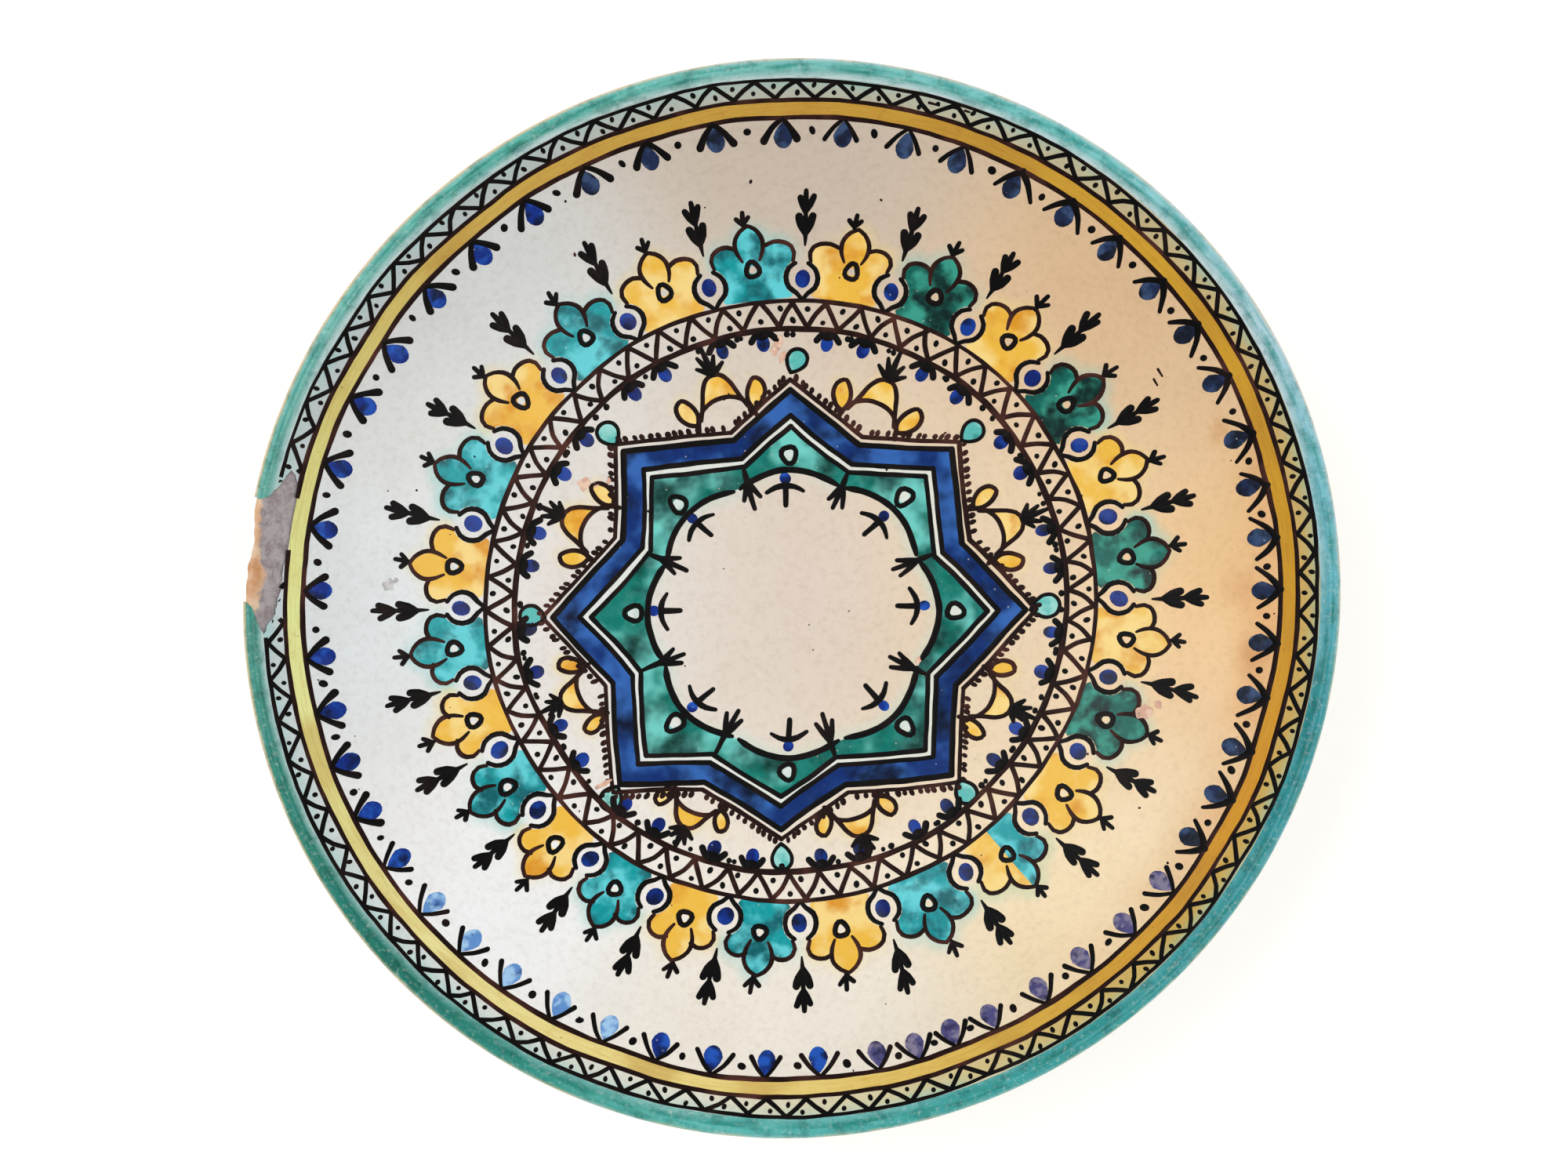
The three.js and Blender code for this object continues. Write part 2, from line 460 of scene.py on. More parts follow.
def new_group(name, takes, gives):
    group = bpy.data.node_groups.new(name, "ShaderNodeTree")
    kinds = {"colour": "NodeSocketColor", "value": "NodeSocketFloat"}
    for label, kind in takes:
        group.interface.new_socket(label, in_out="INPUT", socket_type=kinds[kind])
    for label, kind in gives:
        group.interface.new_socket(label, in_out="OUTPUT", socket_type=kinds[kind])
    taken = group.nodes.new("NodeGroupInput")
    given = group.nodes.new("NodeGroupOutput")
    return group, taken.outputs, given.inputs


def pooled_glaze_group():
    """Colour that ran thin in some places and pooled dark in others."""
    group, taken, given = new_group(
        "pooled glaze",
        [("Thin", "colour"), ("Full", "colour"), ("Pooled", "colour"), ("Patch", "value"),
         ("Pool share", "value")],
        [("Colour", "colour"), ("Height", "value")],
    )
    place = spot_in(group)
    broad = cloud(group, place, taken["Patch"], 3.0, 0.5)
    fine = cloud(group, place, sums(group, "MULTIPLY", taken["Patch"], 5.0), 3.0, 0.6)
    body = mix_colour(group, span(group, broad, 0.41, 0.56), taken["Thin"], taken["Full"])
    other = new_node(group, "ShaderNodeMapping", {"Vector": place, "Location": (0.31, 0.17, 0.4)})
    far = cloud(group, other.outputs[0], sums(group, "MULTIPLY", taken["Patch"], 1.3), 3.0, 0.5)
    pools = span(group, sums(group, "ADD", far, taken["Pool share"]), 0.98, 1.2)
    dark = mix_colour(group, pools, body, taken["Pooled"])
    grainy = mix_colour(group, span(group, fine, 0.35, 0.8, 0.0, 0.16), dark, taken["Thin"])
    group.links.new(grainy, given["Colour"])
    group.links.new(sums(group, "ADD", broad, sums(group, "MULTIPLY", fine, 0.25)), given["Height"])
    return group


def kiln_specks_group():
    """Pinholes, ash specks and small iron spots, as a mask."""
    group, taken, given = new_group("kiln specks", [("Density", "value"), ("Size", "value")], [("Mask", "value")])
    place = spot_in(group)
    cells = new_node(group, "ShaderNodeTexVoronoi", {"Vector": place, "Scale": taken["Density"]})
    lucky = new_node(group, "ShaderNodeSeparateColor", {"Color": cells.outputs["Color"]})
    rare = span(group, lucky.outputs["Red"], 0.86, 0.9)
    spot = span(group, cells.outputs["Distance"], sums(group, "MULTIPLY", taken["Size"], 0.4), taken["Size"], 1.0, 0.0)
    group.links.new(sums(group, "MULTIPLY", rare, spot), given["Mask"])
    return group


def round_streaks_group():
    """Streaks that follow the turning of the dish, as a value."""
    group, taken, given = new_group(
        "round streaks", [("Length", "value"), ("Fineness", "value")], [("Streak", "value"), ("Radius", "value")]
    )
    parts = new_node(group, "ShaderNodeSeparateXYZ", {0: spot_in(group)})
    flat = new_node(group, "ShaderNodeCombineXYZ", {0: parts.outputs[0], 1: parts.outputs[1]})
    radius = new_node(group, "ShaderNodeVectorMath", {0: flat.outputs[0]}, operation="LENGTH").outputs["Value"]
    heading = new_node(group, "ShaderNodeVectorMath", {0: flat.outputs[0]}, operation="NORMALIZE").outputs[0]
    turned = new_node(group, "ShaderNodeVectorMath", {0: heading}, operation="SCALE")
    group.links.new(taken["Length"], turned.inputs["Scale"])
    level = sums(group, "MULTIPLY", sums(group, "ADD", radius, parts.outputs[2]), taken["Fineness"])
    bits = new_node(group, "ShaderNodeSeparateXYZ", {0: turned.outputs[0]})
    where = new_node(group, "ShaderNodeCombineXYZ", {0: bits.outputs[0], 1: bits.outputs[1], 2: level})
    group.links.new(cloud(group, where.outputs[0], 1.0, 4.0, 0.6), given["Streak"])
    group.links.new(radius, given["Radius"])
    return group


POOLED = pooled_glaze_group()
SPECKS = kiln_specks_group()
STREAKS = round_streaks_group()


def use_group(tree, group, **values):
    made = new_node(tree, "ShaderNodeGroup", node_tree=group)
    for name, value in values.items():
        made.inputs[name.replace("_", " ")].default_value = value
    return made


def new_finish(name, rough, gloss=0.5, coat=0.0):
    finish = bpy.data.materials.new(name)
    finish.use_nodes = True
    tree = finish.node_tree
    shader = tree.nodes["Principled BSDF"]
    shader.inputs["Roughness"].default_value = rough
    shader.inputs["Specular IOR Level"].default_value = gloss
    shader.inputs["Coat Weight"].default_value = coat
    shader.inputs["Coat Roughness"].default_value = 0.08
    return finish, tree, shader


def raise_surface(tree, shader, height, strength, distance=0.0004):
    bump = new_node(tree, "ShaderNodeBump", {"Height": height, "Strength": strength, "Distance": distance})
    tree.links.new(bump.outputs[0], shader.inputs["Normal"])


def pooled_finish(name, thin, full, pooled, patch, share, rough=0.2):
    finish, tree, shader = new_finish(name, rough, 0.2)
    pool = use_group(tree, POOLED, Thin=thin, Full=full, Pooled=pooled, Patch=patch, Pool_share=share)
    specks = use_group(tree, SPECKS, Density=420.0, Size=0.16)
    colour = mix_colour(tree, sums(tree, "MULTIPLY", specks.outputs[0], 0.5), pool.outputs[0], tone(225, 215, 200))
    tree.links.new(colour, shader.inputs["Base Color"])
    raise_surface(tree, shader, pool.outputs[1], 0.35)
    return finish


def line_finish(name, dark, worn, patch=60.0):
    finish, tree, shader = new_finish(name, 0.4, 0.08)
    place = spot_in(tree)
    broad = cloud(tree, place, patch, 3.0)
    fine = cloud(tree, place, 900.0, 2.0)
    share = sums(tree, "ADD", span(tree, broad, 0.46, 0.74, 0.0, 0.75), span(tree, fine, 0.5, 0.8, 0.0, 0.2))
    tree.links.new(mix_colour(tree, share, dark, worn), shader.inputs["Base Color"])
    raise_surface(tree, shader, fine, 0.3, 0.0001)
    return finish


def white_finish():
    finish, tree, shader = new_finish("tin_white", 0.3, 0.35, 0.0)
    place = spot_in(tree)
    tint = new_node(tree, "ShaderNodeVertexColor", layer_name="tint").outputs["Color"]
    broad = cloud(tree, place, 34.0, 5.0, 0.6)
    fine = cloud(tree, place, 420.0, 3.0, 0.65)
    body = mix_colour(tree, span(tree, broad, 0.3, 0.75, 0.0, 0.22), tint, tone(232, 226, 218), "MULTIPLY")
    body = mix_colour(tree, span(tree, fine, 0.42, 0.75, 0.0, 0.3), body, tone(218, 212, 206), "MULTIPLY")
    pits = use_group(tree, SPECKS, Density=95.0, Size=0.055)
    body = mix_colour(tree, sums(tree, "MULTIPLY", pits.outputs[0], 0.75), body, tone(72, 58, 50))
    small = use_group(tree, SPECKS, Density=300.0, Size=0.12)
    body = mix_colour(tree, sums(tree, "MULTIPLY", small.outputs[0], 0.3), body, tone(140, 120, 100))
    tree.links.new(body, shader.inputs["Base Color"])
    tree.links.new(span(tree, broad, 0.3, 0.8, 0.24, 0.4), shader.inputs["Roughness"])
    dip = sums(tree, "SUBTRACT", sums(tree, "ADD", broad, sums(tree, "MULTIPLY", fine, 0.05)), pits.outputs[0])
    raise_surface(tree, shader, dip, 0.3, 0.0005)
    return finish


def lip_finish():
    finish, tree, shader = new_finish("copper_lip", 0.24, 0.35)
    place = spot_in(tree)
    tint = new_node(tree, "ShaderNodeVertexColor", layer_name="tint").outputs["Color"]
    streaks = use_group(tree, STREAKS, Length=30.0, Fineness=500.0)
    blotch = cloud(tree, place, 130.0, 5.0, 0.65)
    grain = cloud(tree, place, 600.0, 3.0, 0.7)
    body = mix_colour(tree, span(tree, blotch, 0.48, 0.66, 0.0, 0.5), tint, tone(110, 170, 164), "MULTIPLY")
    body = mix_colour(tree, span(tree, streaks.outputs[0], 0.52, 0.7, 0.0, 0.4), body, tone(120, 176, 170), "MULTIPLY")
    body = mix_colour(tree, span(tree, grain, 0.5, 0.8, 0.0, 0.35), body, tone(222, 232, 226))
    specks = use_group(tree, SPECKS, Density=380.0, Size=0.2)
    body = mix_colour(tree, sums(tree, "MULTIPLY", specks.outputs[0], 0.4), body, tone(66, 78, 70))
    tree.links.new(body, shader.inputs["Base Color"])
    raise_surface(tree, shader, blotch, 0.2, 0.0004)
    return finish


def cream_finish():
    finish, tree, shader = new_finish("cream_back", 0.28, 0.5)
    place = spot_in(tree)
    streaks = use_group(tree, STREAKS, Length=5.0, Fineness=160.0)
    blotch = cloud(tree, place, 22.0, 5.0, 0.6)
    body = mix_colour(tree, span(tree, blotch, 0.35, 0.7), tone(229, 218, 196), tone(208, 188, 156))
    body = mix_colour(tree, span(tree, streaks.outputs[0], 0.5, 0.72, 0.0, 0.4), body, tone(186, 158, 122))
    specks = use_group(tree, SPECKS, Density=150.0, Size=0.12)
    body = mix_colour(tree, sums(tree, "MULTIPLY", specks.outputs[0], 0.7), body, tone(96, 70, 50))
    tree.links.new(body, shader.inputs["Base Color"])
    raise_surface(tree, shader, sums(tree, "ADD", streaks.outputs[0], blotch), 0.35, 0.0006)
    return finish


def ring_finish():
    finish, tree, shader = new_finish("yellow_ring", 0.25)
    tint = new_node(tree, "ShaderNodeVertexColor", layer_name="tint").outputs["Color"]
    long = use_group(tree, STREAKS, Length=16.0, Fineness=900.0)
    grain = cloud(tree, spot_in(tree), 300.0, 3.0)
    body = mix_colour(tree, span(tree, long.outputs[0], 0.4, 0.7, 0.0, 0.5), tint, tone(232, 214, 180), "MULTIPLY")
    body = mix_colour(tree, span(tree, grain, 0.5, 0.8, 0.0, 0.35), body, tone(224, 204, 170), "MULTIPLY")
    specks = use_group(tree, SPECKS, Density=260.0, Size=0.14)
    body = mix_colour(tree, sums(tree, "MULTIPLY", specks.outputs[0], 0.5), body, tone(110, 70, 30))
    tree.links.new(body, shader.inputs["Base Color"])
    raise_surface(tree, shader, grain, 0.3, 0.0003)
    return finish


def clay_finish(name, worn):
    finish, tree, shader = new_finish(name, 0.85, 0.3)
    place = spot_in(tree)
    blotch = cloud(tree, place, 70.0, 5.0, 0.65)
    grit = cloud(tree, place, 1400.0, 3.0, 0.7)
    body = mix_colour(tree, span(tree, blotch, 0.35, 0.65), tone(236, 208, 180), tone(220, 176, 138))
    if worn:
        rings = use_group(tree, STREAKS, Length=8.0, Fineness=420.0)
        slip = mix_colour(tree, span(tree, cloud(tree, place, 240.0, 5.0, 0.65), 0.4, 0.62),
                          tone(176, 169, 172), tone(146, 136, 140))
        slip = mix_colour(tree, span(tree, cloud(tree, place, 900.0, 3.0, 0.7), 0.45, 0.8, 0.0, 0.5), slip,
                          tone(206, 196, 192))
        stray = sums(tree, "ADD", sums(tree, "MULTIPLY", cloud(tree, place, 110.0, 5.0, 0.7), 0.009),
                     sums(tree, "MULTIPLY", cloud(tree, place, 38.0, 2.0), 0.014))
        ragged = sums(tree, "ADD", rings.outputs["Radius"], stray)
        near_rim = span(tree, rings.outputs["Radius"], 0.16, 0.165)
        grey = sums(tree, "MULTIPLY", near_rim, span(tree, ragged, 0.1984, 0.1996, 1.0, 0.0))
        body = mix_colour(tree, grey, body, slip)
        edge = span(tree, cloud(tree, place, 60.0, 3.0), 0.48, 0.62, 0.0, 0.75)
        edge = sums(tree, "MULTIPLY", edge, span(tree, ragged, 0.1986, 0.2))
        body = mix_colour(tree, edge, body, tone(196, 132, 78))
    else:
        rings = use_group(tree, STREAKS, Length=4.0, Fineness=300.0)
    body = mix_colour(tree, span(tree, grit, 0.5, 0.8, 0.0, 0.5), body, tone(176, 128, 92))
    tree.links.new(body, shader.inputs["Base Color"])
    rough = sums(tree, "ADD", grit, rings.outputs[0])
    raise_surface(tree, shader, rough, 0.7, 0.0005)
    return finish


TIN_WHITE = white_finish()
COPPER_LIP = lip_finish()
CREAM_BACK = cream_finish()
BISCUIT = clay_finish("biscuit", True)
FOOT_CLAY = clay_finish("foot_biscuit", False)
BLACK_LINE = line_finish("black_line", tone(9, 8, 8), tone(34, 24, 22))
BROWN_LINE = line_finish("manganese_line", tone(30, 15, 12), tone(88, 50, 42))
COBALT_BUD = pooled_finish(
    "cobalt_bud", tone(30, 84, 184), tone(8, 42, 130), tone(2, 14, 52), 110.0, 0.54)
COBALT_EYE = pooled_finish(
    "cobalt_eye", tone(14, 58, 148), tone(4, 30, 106), tone(0, 12, 46), 110.0, 0.55)
COBALT_DARK = pooled_finish(
    "cobalt_navy", tone(56, 78, 116), tone(24, 38, 74), tone(10, 16, 30), 120.0, 0.58)
# Pale blue of the buds under glare: a painted highlight in their colour.
COBALT_GLARE = pooled_finish(
    "cobalt_painted_glare", tone(164, 204, 240), tone(92, 142, 206), tone(36, 62, 132), 160.0, 0.46)
COBALT_WORN = pooled_finish(
    "cobalt_rubbed", tone(132, 124, 150), tone(74, 72, 124), tone(38, 38, 76), 200.0, 0.5)
COBALT_BAND = pooled_finish(
    "cobalt_band", tone(50, 100, 176), tone(4, 42, 108), tone(0, 14, 44), 46.0, 0.54)
COPPER_GREEN = pooled_finish(
    "copper_green", tone(112, 204, 194), tone(4, 118, 106), tone(0, 50, 44), 42.0, 0.56)
COPPER_DEEP = pooled_finish(
    "copper_deep_green", tone(56, 156, 136), tone(2, 94, 84), tone(0, 34, 32), 78.0, 0.57)
COPPER_BLUE = pooled_finish(
    "copper_turquoise", tone(96, 206, 214), tone(6, 152, 158), tone(0, 92, 100), 78.0, 0.55)
COPPER_PALE = pooled_finish(
    "copper_pale", tone(150, 214, 206), tone(86, 182, 176), tone(40, 130, 124), 110.0, 0.42)
ANTIMONY = pooled_finish(
    "antimony_yellow", tone(246, 214, 134), tone(238, 186, 66), tone(220, 148, 34), 60.0, 0.48)
PALE_FLAKE = pooled_finish(
    "bare_flake", tone(236, 200, 176), tone(216, 170, 148), tone(150, 130, 126), 300.0, 0.45, 0.7)
GREY_WASH = pooled_finish(
    "grey_wash", tone(206, 206, 206), tone(176, 172, 172), tone(130, 120, 122), 260.0, 0.45, 0.4)
YELLOW_RING = ring_finish()


# ---------------------------------------------------------------- the painted plan

BUD_TURNS = pace(5.6, [(1, 8.1), (8, 7.04), (13, 6.5), (3, 4.9), (14, 6.7), (12, 7.93)])
PALMETTE_TURNS = pace(10.0, [(3, 14.73), (6, 14.27), (2, 15.55), (1, 13.9), (6, 12.87), (1, 14.1), (5, 15.4)])
HALF_AND_HALF = 9
EYE_OUT = 117.0
EYE_REACH = 6.7


def eye_turns():
    turns = []
    for i, turn in enumerate(PALMETTE_TURNS):
        following = PALMETTE_TURNS[i + 1] if i + 1 < len(PALMETTE_TURNS) else PALMETTE_TURNS[0] + 360
        turns.append((turn + following) / 2)
    return turns


EYE_TURNS = eye_turns()


def is_yellow(i):
    return i % 2 == 0 if i < HALF_AND_HALF else i % 2 == 1


def palmette_sides(i):
    """The palmette's own eyes, as (across, out) from the foot of the palmette."""
    turn = PALMETTE_TURNS[i]
    sides = []
    for eye in (EYE_TURNS[i - 1] - (360 if i == 0 else 0), EYE_TURNS[i]):
        swing = math.radians(eye - turn)
        sides.append((EYE_OUT * math.sin(swing), EYE_OUT * math.cos(swing) - RING_OUT))
    return sides


def palmette_side(eye, side):
    """Up one side of a palmette, round its eye and over its shoulder, to the middle petal."""
    across, out = eye
    points = []
    for lean in (-52, -30, -8, 14, 36, 56, 70):
        a = math.radians(lean)
        points.append((across - side * EYE_REACH * math.cos(a), out + EYE_REACH * math.sin(a)))
    wide = abs(across) / 14.2
    shoulder = [(12.9, 15.9), (12.3, 18.0), (10.2, 19.7), (7.3, 20.2), (4.9, 19.3)]
    return points, [(side * x * wide, y) for x, y in shoulder]


PETAL = [(4.9, 20.4), (4.5, 22.6), (2.6, 25.1), (0.0, 26.6)]


def palmette_outline(i):
    left_eye, right_eye = palmette_sides(i)
    left, left_shoulder = palmette_side(left_eye, -1)
    right, right_shoulder = palmette_side(right_eye, 1)
    petal_left = [(-x, y) for x, y in PETAL]
    petal_right = PETAL[-2::-1]
    base = [(right[0][0] - 1.0, 0.4), (left[0][0] + 1.0, 0.4)]
    points = left + left_shoulder + petal_left + petal_right
    points += right_shoulder[::-1] + right[::-1] + base
    return points


def in_wreath(i, points):
    return [at(WREATH, PALMETTE_TURNS[i], RING_OUT + y, x) for x, y in points]


def small_ring(centre, turn, out, across, radius):
    return [at(centre, turn, out + radius * math.cos(math.radians(a)), across + radius * math.sin(math.radians(a)))
            for a in range(0, 360, 24)]


def half_plane(points, keep_left):
    """The part of a palmette on one side of its middle line."""
    kept = []
    for (ax, ay), (bx, by) in zip(points, points[1:] + points[:1]):
        a_in = ax <= 0.6 if keep_left else ax >= 0.6
        b_in = bx <= 0.6 if keep_left else bx >= 0.6
        if a_in:
            kept.append((ax, ay))
        if a_in != b_in:
            share = (0.6 - ax) / (bx - ax)
            kept.append((0.6, ay + share * (by - ay)))
    return kept


def paint_wreath():
    turquoise, green, yellow = [], [], []
    for i, turn in enumerate(PALMETTE_TURNS):
        outline = palmette_outline(i)
        hole = small_ring(WREATH, turn, RING_OUT + 11.5, 0.2, 1.4)
        if i == HALF_AND_HALF:
            turquoise.append([in_wreath(i, half_plane(outline, True))])
            yellow.append([in_wreath(i, half_plane(outline, False))])
        elif is_yellow(i):
            yellow.append([in_wreath(i, outline), hole])
        elif i < HALF_AND_HALF:
            green.append([in_wreath(i, outline), hole])
        else:
            turquoise.append([in_wreath(i, outline), hole])
    flood("palmettes_turquoise", turquoise, COPPER_BLUE, "turquoise_glaze")
    flood("palmettes_green", green, COPPER_DEEP, "green_glaze")
    flood("palmettes_yellow", yellow, ANTIMONY, "yellow_glaze")

    lines, rings, tips, eye_lines, eye_dots, sprigs = [], [], [], [], [], []
    for i, turn in enumerate(PALMETTE_TURNS):
        for side, eye in zip((-1, 1), palmette_sides(i)):
            points, shoulder = palmette_side(eye, side)
            lines.append(stroke(in_wreath(i, points[-1:] + shoulder), [1.3] + [1.6] * 5))
            petal = [(side * 3.1, 14.6), (side * 4.4, 17.2), (side * 5.0, 20.0)] + [(side * x, y) for x, y in PETAL[1:]]
            lines.append(stroke(in_wreath(i, petal), [1.0, 1.5, 1.7, 1.6, 1.5, 1.4]))
        tall = hand_luck.uniform(0.9, 1.1)
        rings.append(ring_stroke(WREATH, turn, RING_OUT + 11.5, 0.2, 2.3, 2.6 * tall, 1.9))
        tips += tip_sprig(WREATH, turn + hand_luck.uniform(-0.8, 0.8), RING_OUT + 26.6)
    for turn in EYE_TURNS:
        for side in (-1, 1):
            arc = [(0.2 * side, -7.5)]
            for lean in (-68, -35, 0, 35, 66):
                a = math.radians(lean)
                arc.append((side * 5.7 * math.cos(a), 5.7 * math.sin(a)))
            points = [at(WREATH, turn, EYE_OUT + y, x) for x, y in arc]
            eye_lines.append(stroke(points, [1.5, 1.7, 1.9, 1.9, 1.7, 1.5]))
        spot = at(WREATH, turn, EYE_OUT + hand_luck.uniform(-0.4, 0.4), hand_luck.uniform(-0.5, 0.5))
        eye_dots.append(dab(spot, 2.9, 3.3, turn + hand_luck.uniform(-30, 30)))
        sprigs += long_sprig(WREATH, turn + hand_luck.uniform(-0.5, 0.5), 128.4)
    paint("palmette_lines", lines, BROWN_LINE, "brown_line")
    paint("palmette_rings", rings, BLACK_LINE, "brown_line", 0.075)
    paint("palmette_tips", tips, BLACK_LINE, "brown_line", 0.07)
    paint("eye_lines", eye_lines, BLACK_LINE, "brown_line")
    paint("eye_dots", eye_dots, COBALT_EYE, "blue_glaze", 0.05, 0.03)
    paint("long_sprigs", sprigs, BLACK_LINE, "brown_line", 0.06, 0.08)


def ring_stroke(centre, turn, out, across, wide, tall, width):
    """A small closed ring drawn in one go, overlapping a little."""
    start = hand_luck.randrange(0, 360)
    corner = hand_luck.uniform(0, math.tau)
    points = []
    for k in range(0, 400, 25):
        a = math.radians(start + k)
        size = 1 + 0.1 * math.cos(3 * a + corner)
        points.append(at(centre, turn, out + tall * size * math.cos(a), across + wide * size * math.sin(a)))
    return stroke(points, width, 1.0)


def tip_sprig(centre, turn, out):
    """Three short touches of the brush on a palmette's point."""
    size = hand_luck.uniform(0.85, 1.12)
    touches = [
        ([(0, -0.6), (0.1, 2.6), (0.3, 5.2)], [1.0, 1.7, 1.6]),
        ([(0, 0.4), (-1.2, 1.9), (-2.4, 3.0)], [1.3, 1.8, 1.7]),
        ([(0, 0.6), (1.1, 2.0), (2.3, 3.3)], [1.2, 1.7, 1.5]),
    ]
    return [stroke([at(centre, turn, out + size * y, size * x) for x, y in points], widths, 1.2)
            for points, widths in touches]


def long_sprig(centre, turn, out):
    """A stem with two pairs of leaves and a leaf at its tip."""
    size = hand_luck.uniform(0.93, 1.07)
    sway = hand_luck.uniform(-0.7, 0.7)
    touches = [
        ([(0, 0.2), (0, 3.0), (0.1, 7.0), (sway * 0.4, 12.0)], [0.7, 1.5, 2.0, 1.5]),
        ([(0, 3.8), (-1.5, 7.0), (-2.5, 9.9)], [1.8, 3.0, 2.9]),
        ([(0, 4.2), (1.5, 7.2), (2.4, 10.3)], [1.8, 2.9, 2.7]),
        ([(sway * 0.4, 11.0), (-1.3, 13.8), (-2.5, 16.4)], [1.3, 2.5, 2.3]),
        ([(sway * 0.4, 11.2), (1.2, 14.2), (2.3, 17.0)], [1.3, 2.4, 2.2]),
        ([(sway * 0.4, 11.0), (sway * 0.7, 15.0), (sway, 18.9)], [1.4, 2.3, 1.8]),
    ]
    return [stroke([at(centre, turn, out + size * y, x) for x, y in points], widths, 1.4)
            for points, widths in touches]


def zigzag(centre, low, high, teeth, width, bow):
    strokes = []
    step = 360 / teeth
    for i in range(teeth):
        sway = hand_luck.uniform(-0.07, 0.07) * step
        top = at(centre, i * step + sway, high)
        bottom = at(centre, (i + 0.5) * step + sway, low)
        following = at(centre, (i + 1) * step, high)
        strokes.append(bowed(top, bottom, width, bow * hand_luck.uniform(-0.4, 0.6)))
        strokes.append(bowed(bottom, following, width, bow * hand_luck.uniform(-1.2, 0.2)))
    return strokes


def bowed(start, end, width, bow):
    across = (end[1] - start[1], start[0] - end[0])
    long = math.hypot(*across)
    middle = tuple((a + b) / 2 + bow * c / long for a, b, c in zip(start, end, across))
    return stroke([start, middle, end], width, 2.0)


def zigzag_dots(centre, low, high, teeth, near_low, near_high, size):
    dots = []
    step = 360 / teeth
    for i in range(teeth):
        for turn, out in ((i * step, low + near_low), ((i + 0.5) * step, high - near_high)):
            shaky = turn + hand_luck.uniform(-0.12, 0.12) * step
            spot = at(centre, shaky, out + hand_luck.uniform(-0.35, 0.35))
            dots.append(dab(spot, size, size * hand_luck.uniform(0.9, 1.35), turn + hand_luck.uniform(-40, 40)))
    return dots


def paint_rings():
    paint("lip_line", [ring_line(MIDDLE, 182.4, 1.2)], BLACK_LINE, "brown_line")
    paint("yellow_ring_lines", [ring_line(MIDDLE, YELLOW_OUT, 1.45), ring_line(MIDDLE, YELLOW_IN, 1.6)],
          BROWN_LINE, "brown_line")
    paint("outer_zigzag", zigzag(MIDDLE, 176.8, 182.2, 80, 1.5, 0.6), BLACK_LINE, "brown_line")
    paint("outer_zigzag_dots", zigzag_dots(MIDDLE, 176.9, 182.2, 80, 1.5, 1.4, 0.82), BLACK_LINE, "brown_line")
    paint("wreath_ring_lines", [ring_line(WREATH, RING_OUT, 1.6, 0.6), ring_line(WREATH, RING_IN, 2.1, 0.5)],
          BROWN_LINE, "brown_line")
    paint("inner_zigzag", zigzag(WREATH, RING_IN + 0.6, RING_OUT - 0.4, 55, 1.75, 1.0), BROWN_LINE, "brown_line")
    paint("inner_zigzag_dots", zigzag_dots(WREATH, RING_IN, RING_OUT, 55, 2.7, 2.8, 1.0),
          BLACK_LINE, "brown_line")


def paint_buds():
    legs, dots = [], []
    buds = {"bright": [], "navy": [], "painted_glare": [], "rubbed": []}
    for i, turn in enumerate(BUD_TURNS):
        shaky = turn + hand_luck.uniform(-0.3, 0.3)
        for side in (-1, 1):
            reach = hand_luck.uniform(0.86, 1.12)
            widths = [1.8, 2.0, 2.7]
            if 25 < turn < 125:
                reach *= 1.2
                widths = [2.6, 2.0, 1.4]
            elif turn < 240:
                widths = [1.2, 1.5, 1.8]
            points = [(0, 170.4), (side * 3.2 * reach, 167.3), (side * 5.9 * reach, 163.4 - 2 * (reach - 1))]
            legs.append(stroke([at(MIDDLE, shaky, y, x) for x, y in points], widths))
        spot = at(MIDDLE, shaky, 165.2 + hand_luck.uniform(-0.4, 0.4), hand_luck.uniform(-0.8, 0.6))
        buds[bud_glaze(turn)].append(drop(spot, 3.4, 4.3, shaky, 0.5))
        following = BUD_TURNS[(i + 1) % len(BUD_TURNS)] + (360 if i + 1 == len(BUD_TURNS) else 0)
        middle = (turn + following) / 2 + hand_luck.uniform(-0.5, 0.5)
        spot = at(MIDDLE, middle, 166.7 + hand_luck.uniform(-0.7, 0.5))
        dots.append(dab(spot, hand_luck.uniform(1.0, 1.35), hand_luck.uniform(1.1, 1.6), hand_luck.uniform(0, 180)))
        if hand_luck.random() < 0.12:
            dots.append(dab(at(MIDDLE, middle + 0.5, 163.0), 0.45, 0.5))
    paint("bud_legs", legs, BLACK_LINE, "brown_line")
    for kind, glaze in (("bright", COBALT_BUD), ("navy", COBALT_DARK), ("painted_glare", COBALT_GLARE), ("rubbed", COBALT_WORN)):
        paint("buds_" + kind, buds[kind], glaze, "blue_glaze", 0.05, 0.03)
    paint("bud_dots", dots, BLACK_LINE, "brown_line")


def bud_glaze(turn):
    """The blue ran out and was mixed again as the painter went round. The pale buds at the lower left are painted
    glare: a highlight put into their blue.
    """
    # Painted glare on the buds at the lower left.
    if 200 < turn < 236:
        return "painted_glare"
    if 126 < turn < 172:
        return "rubbed"
    return "bright" if 170 < turn < 333 else "navy"


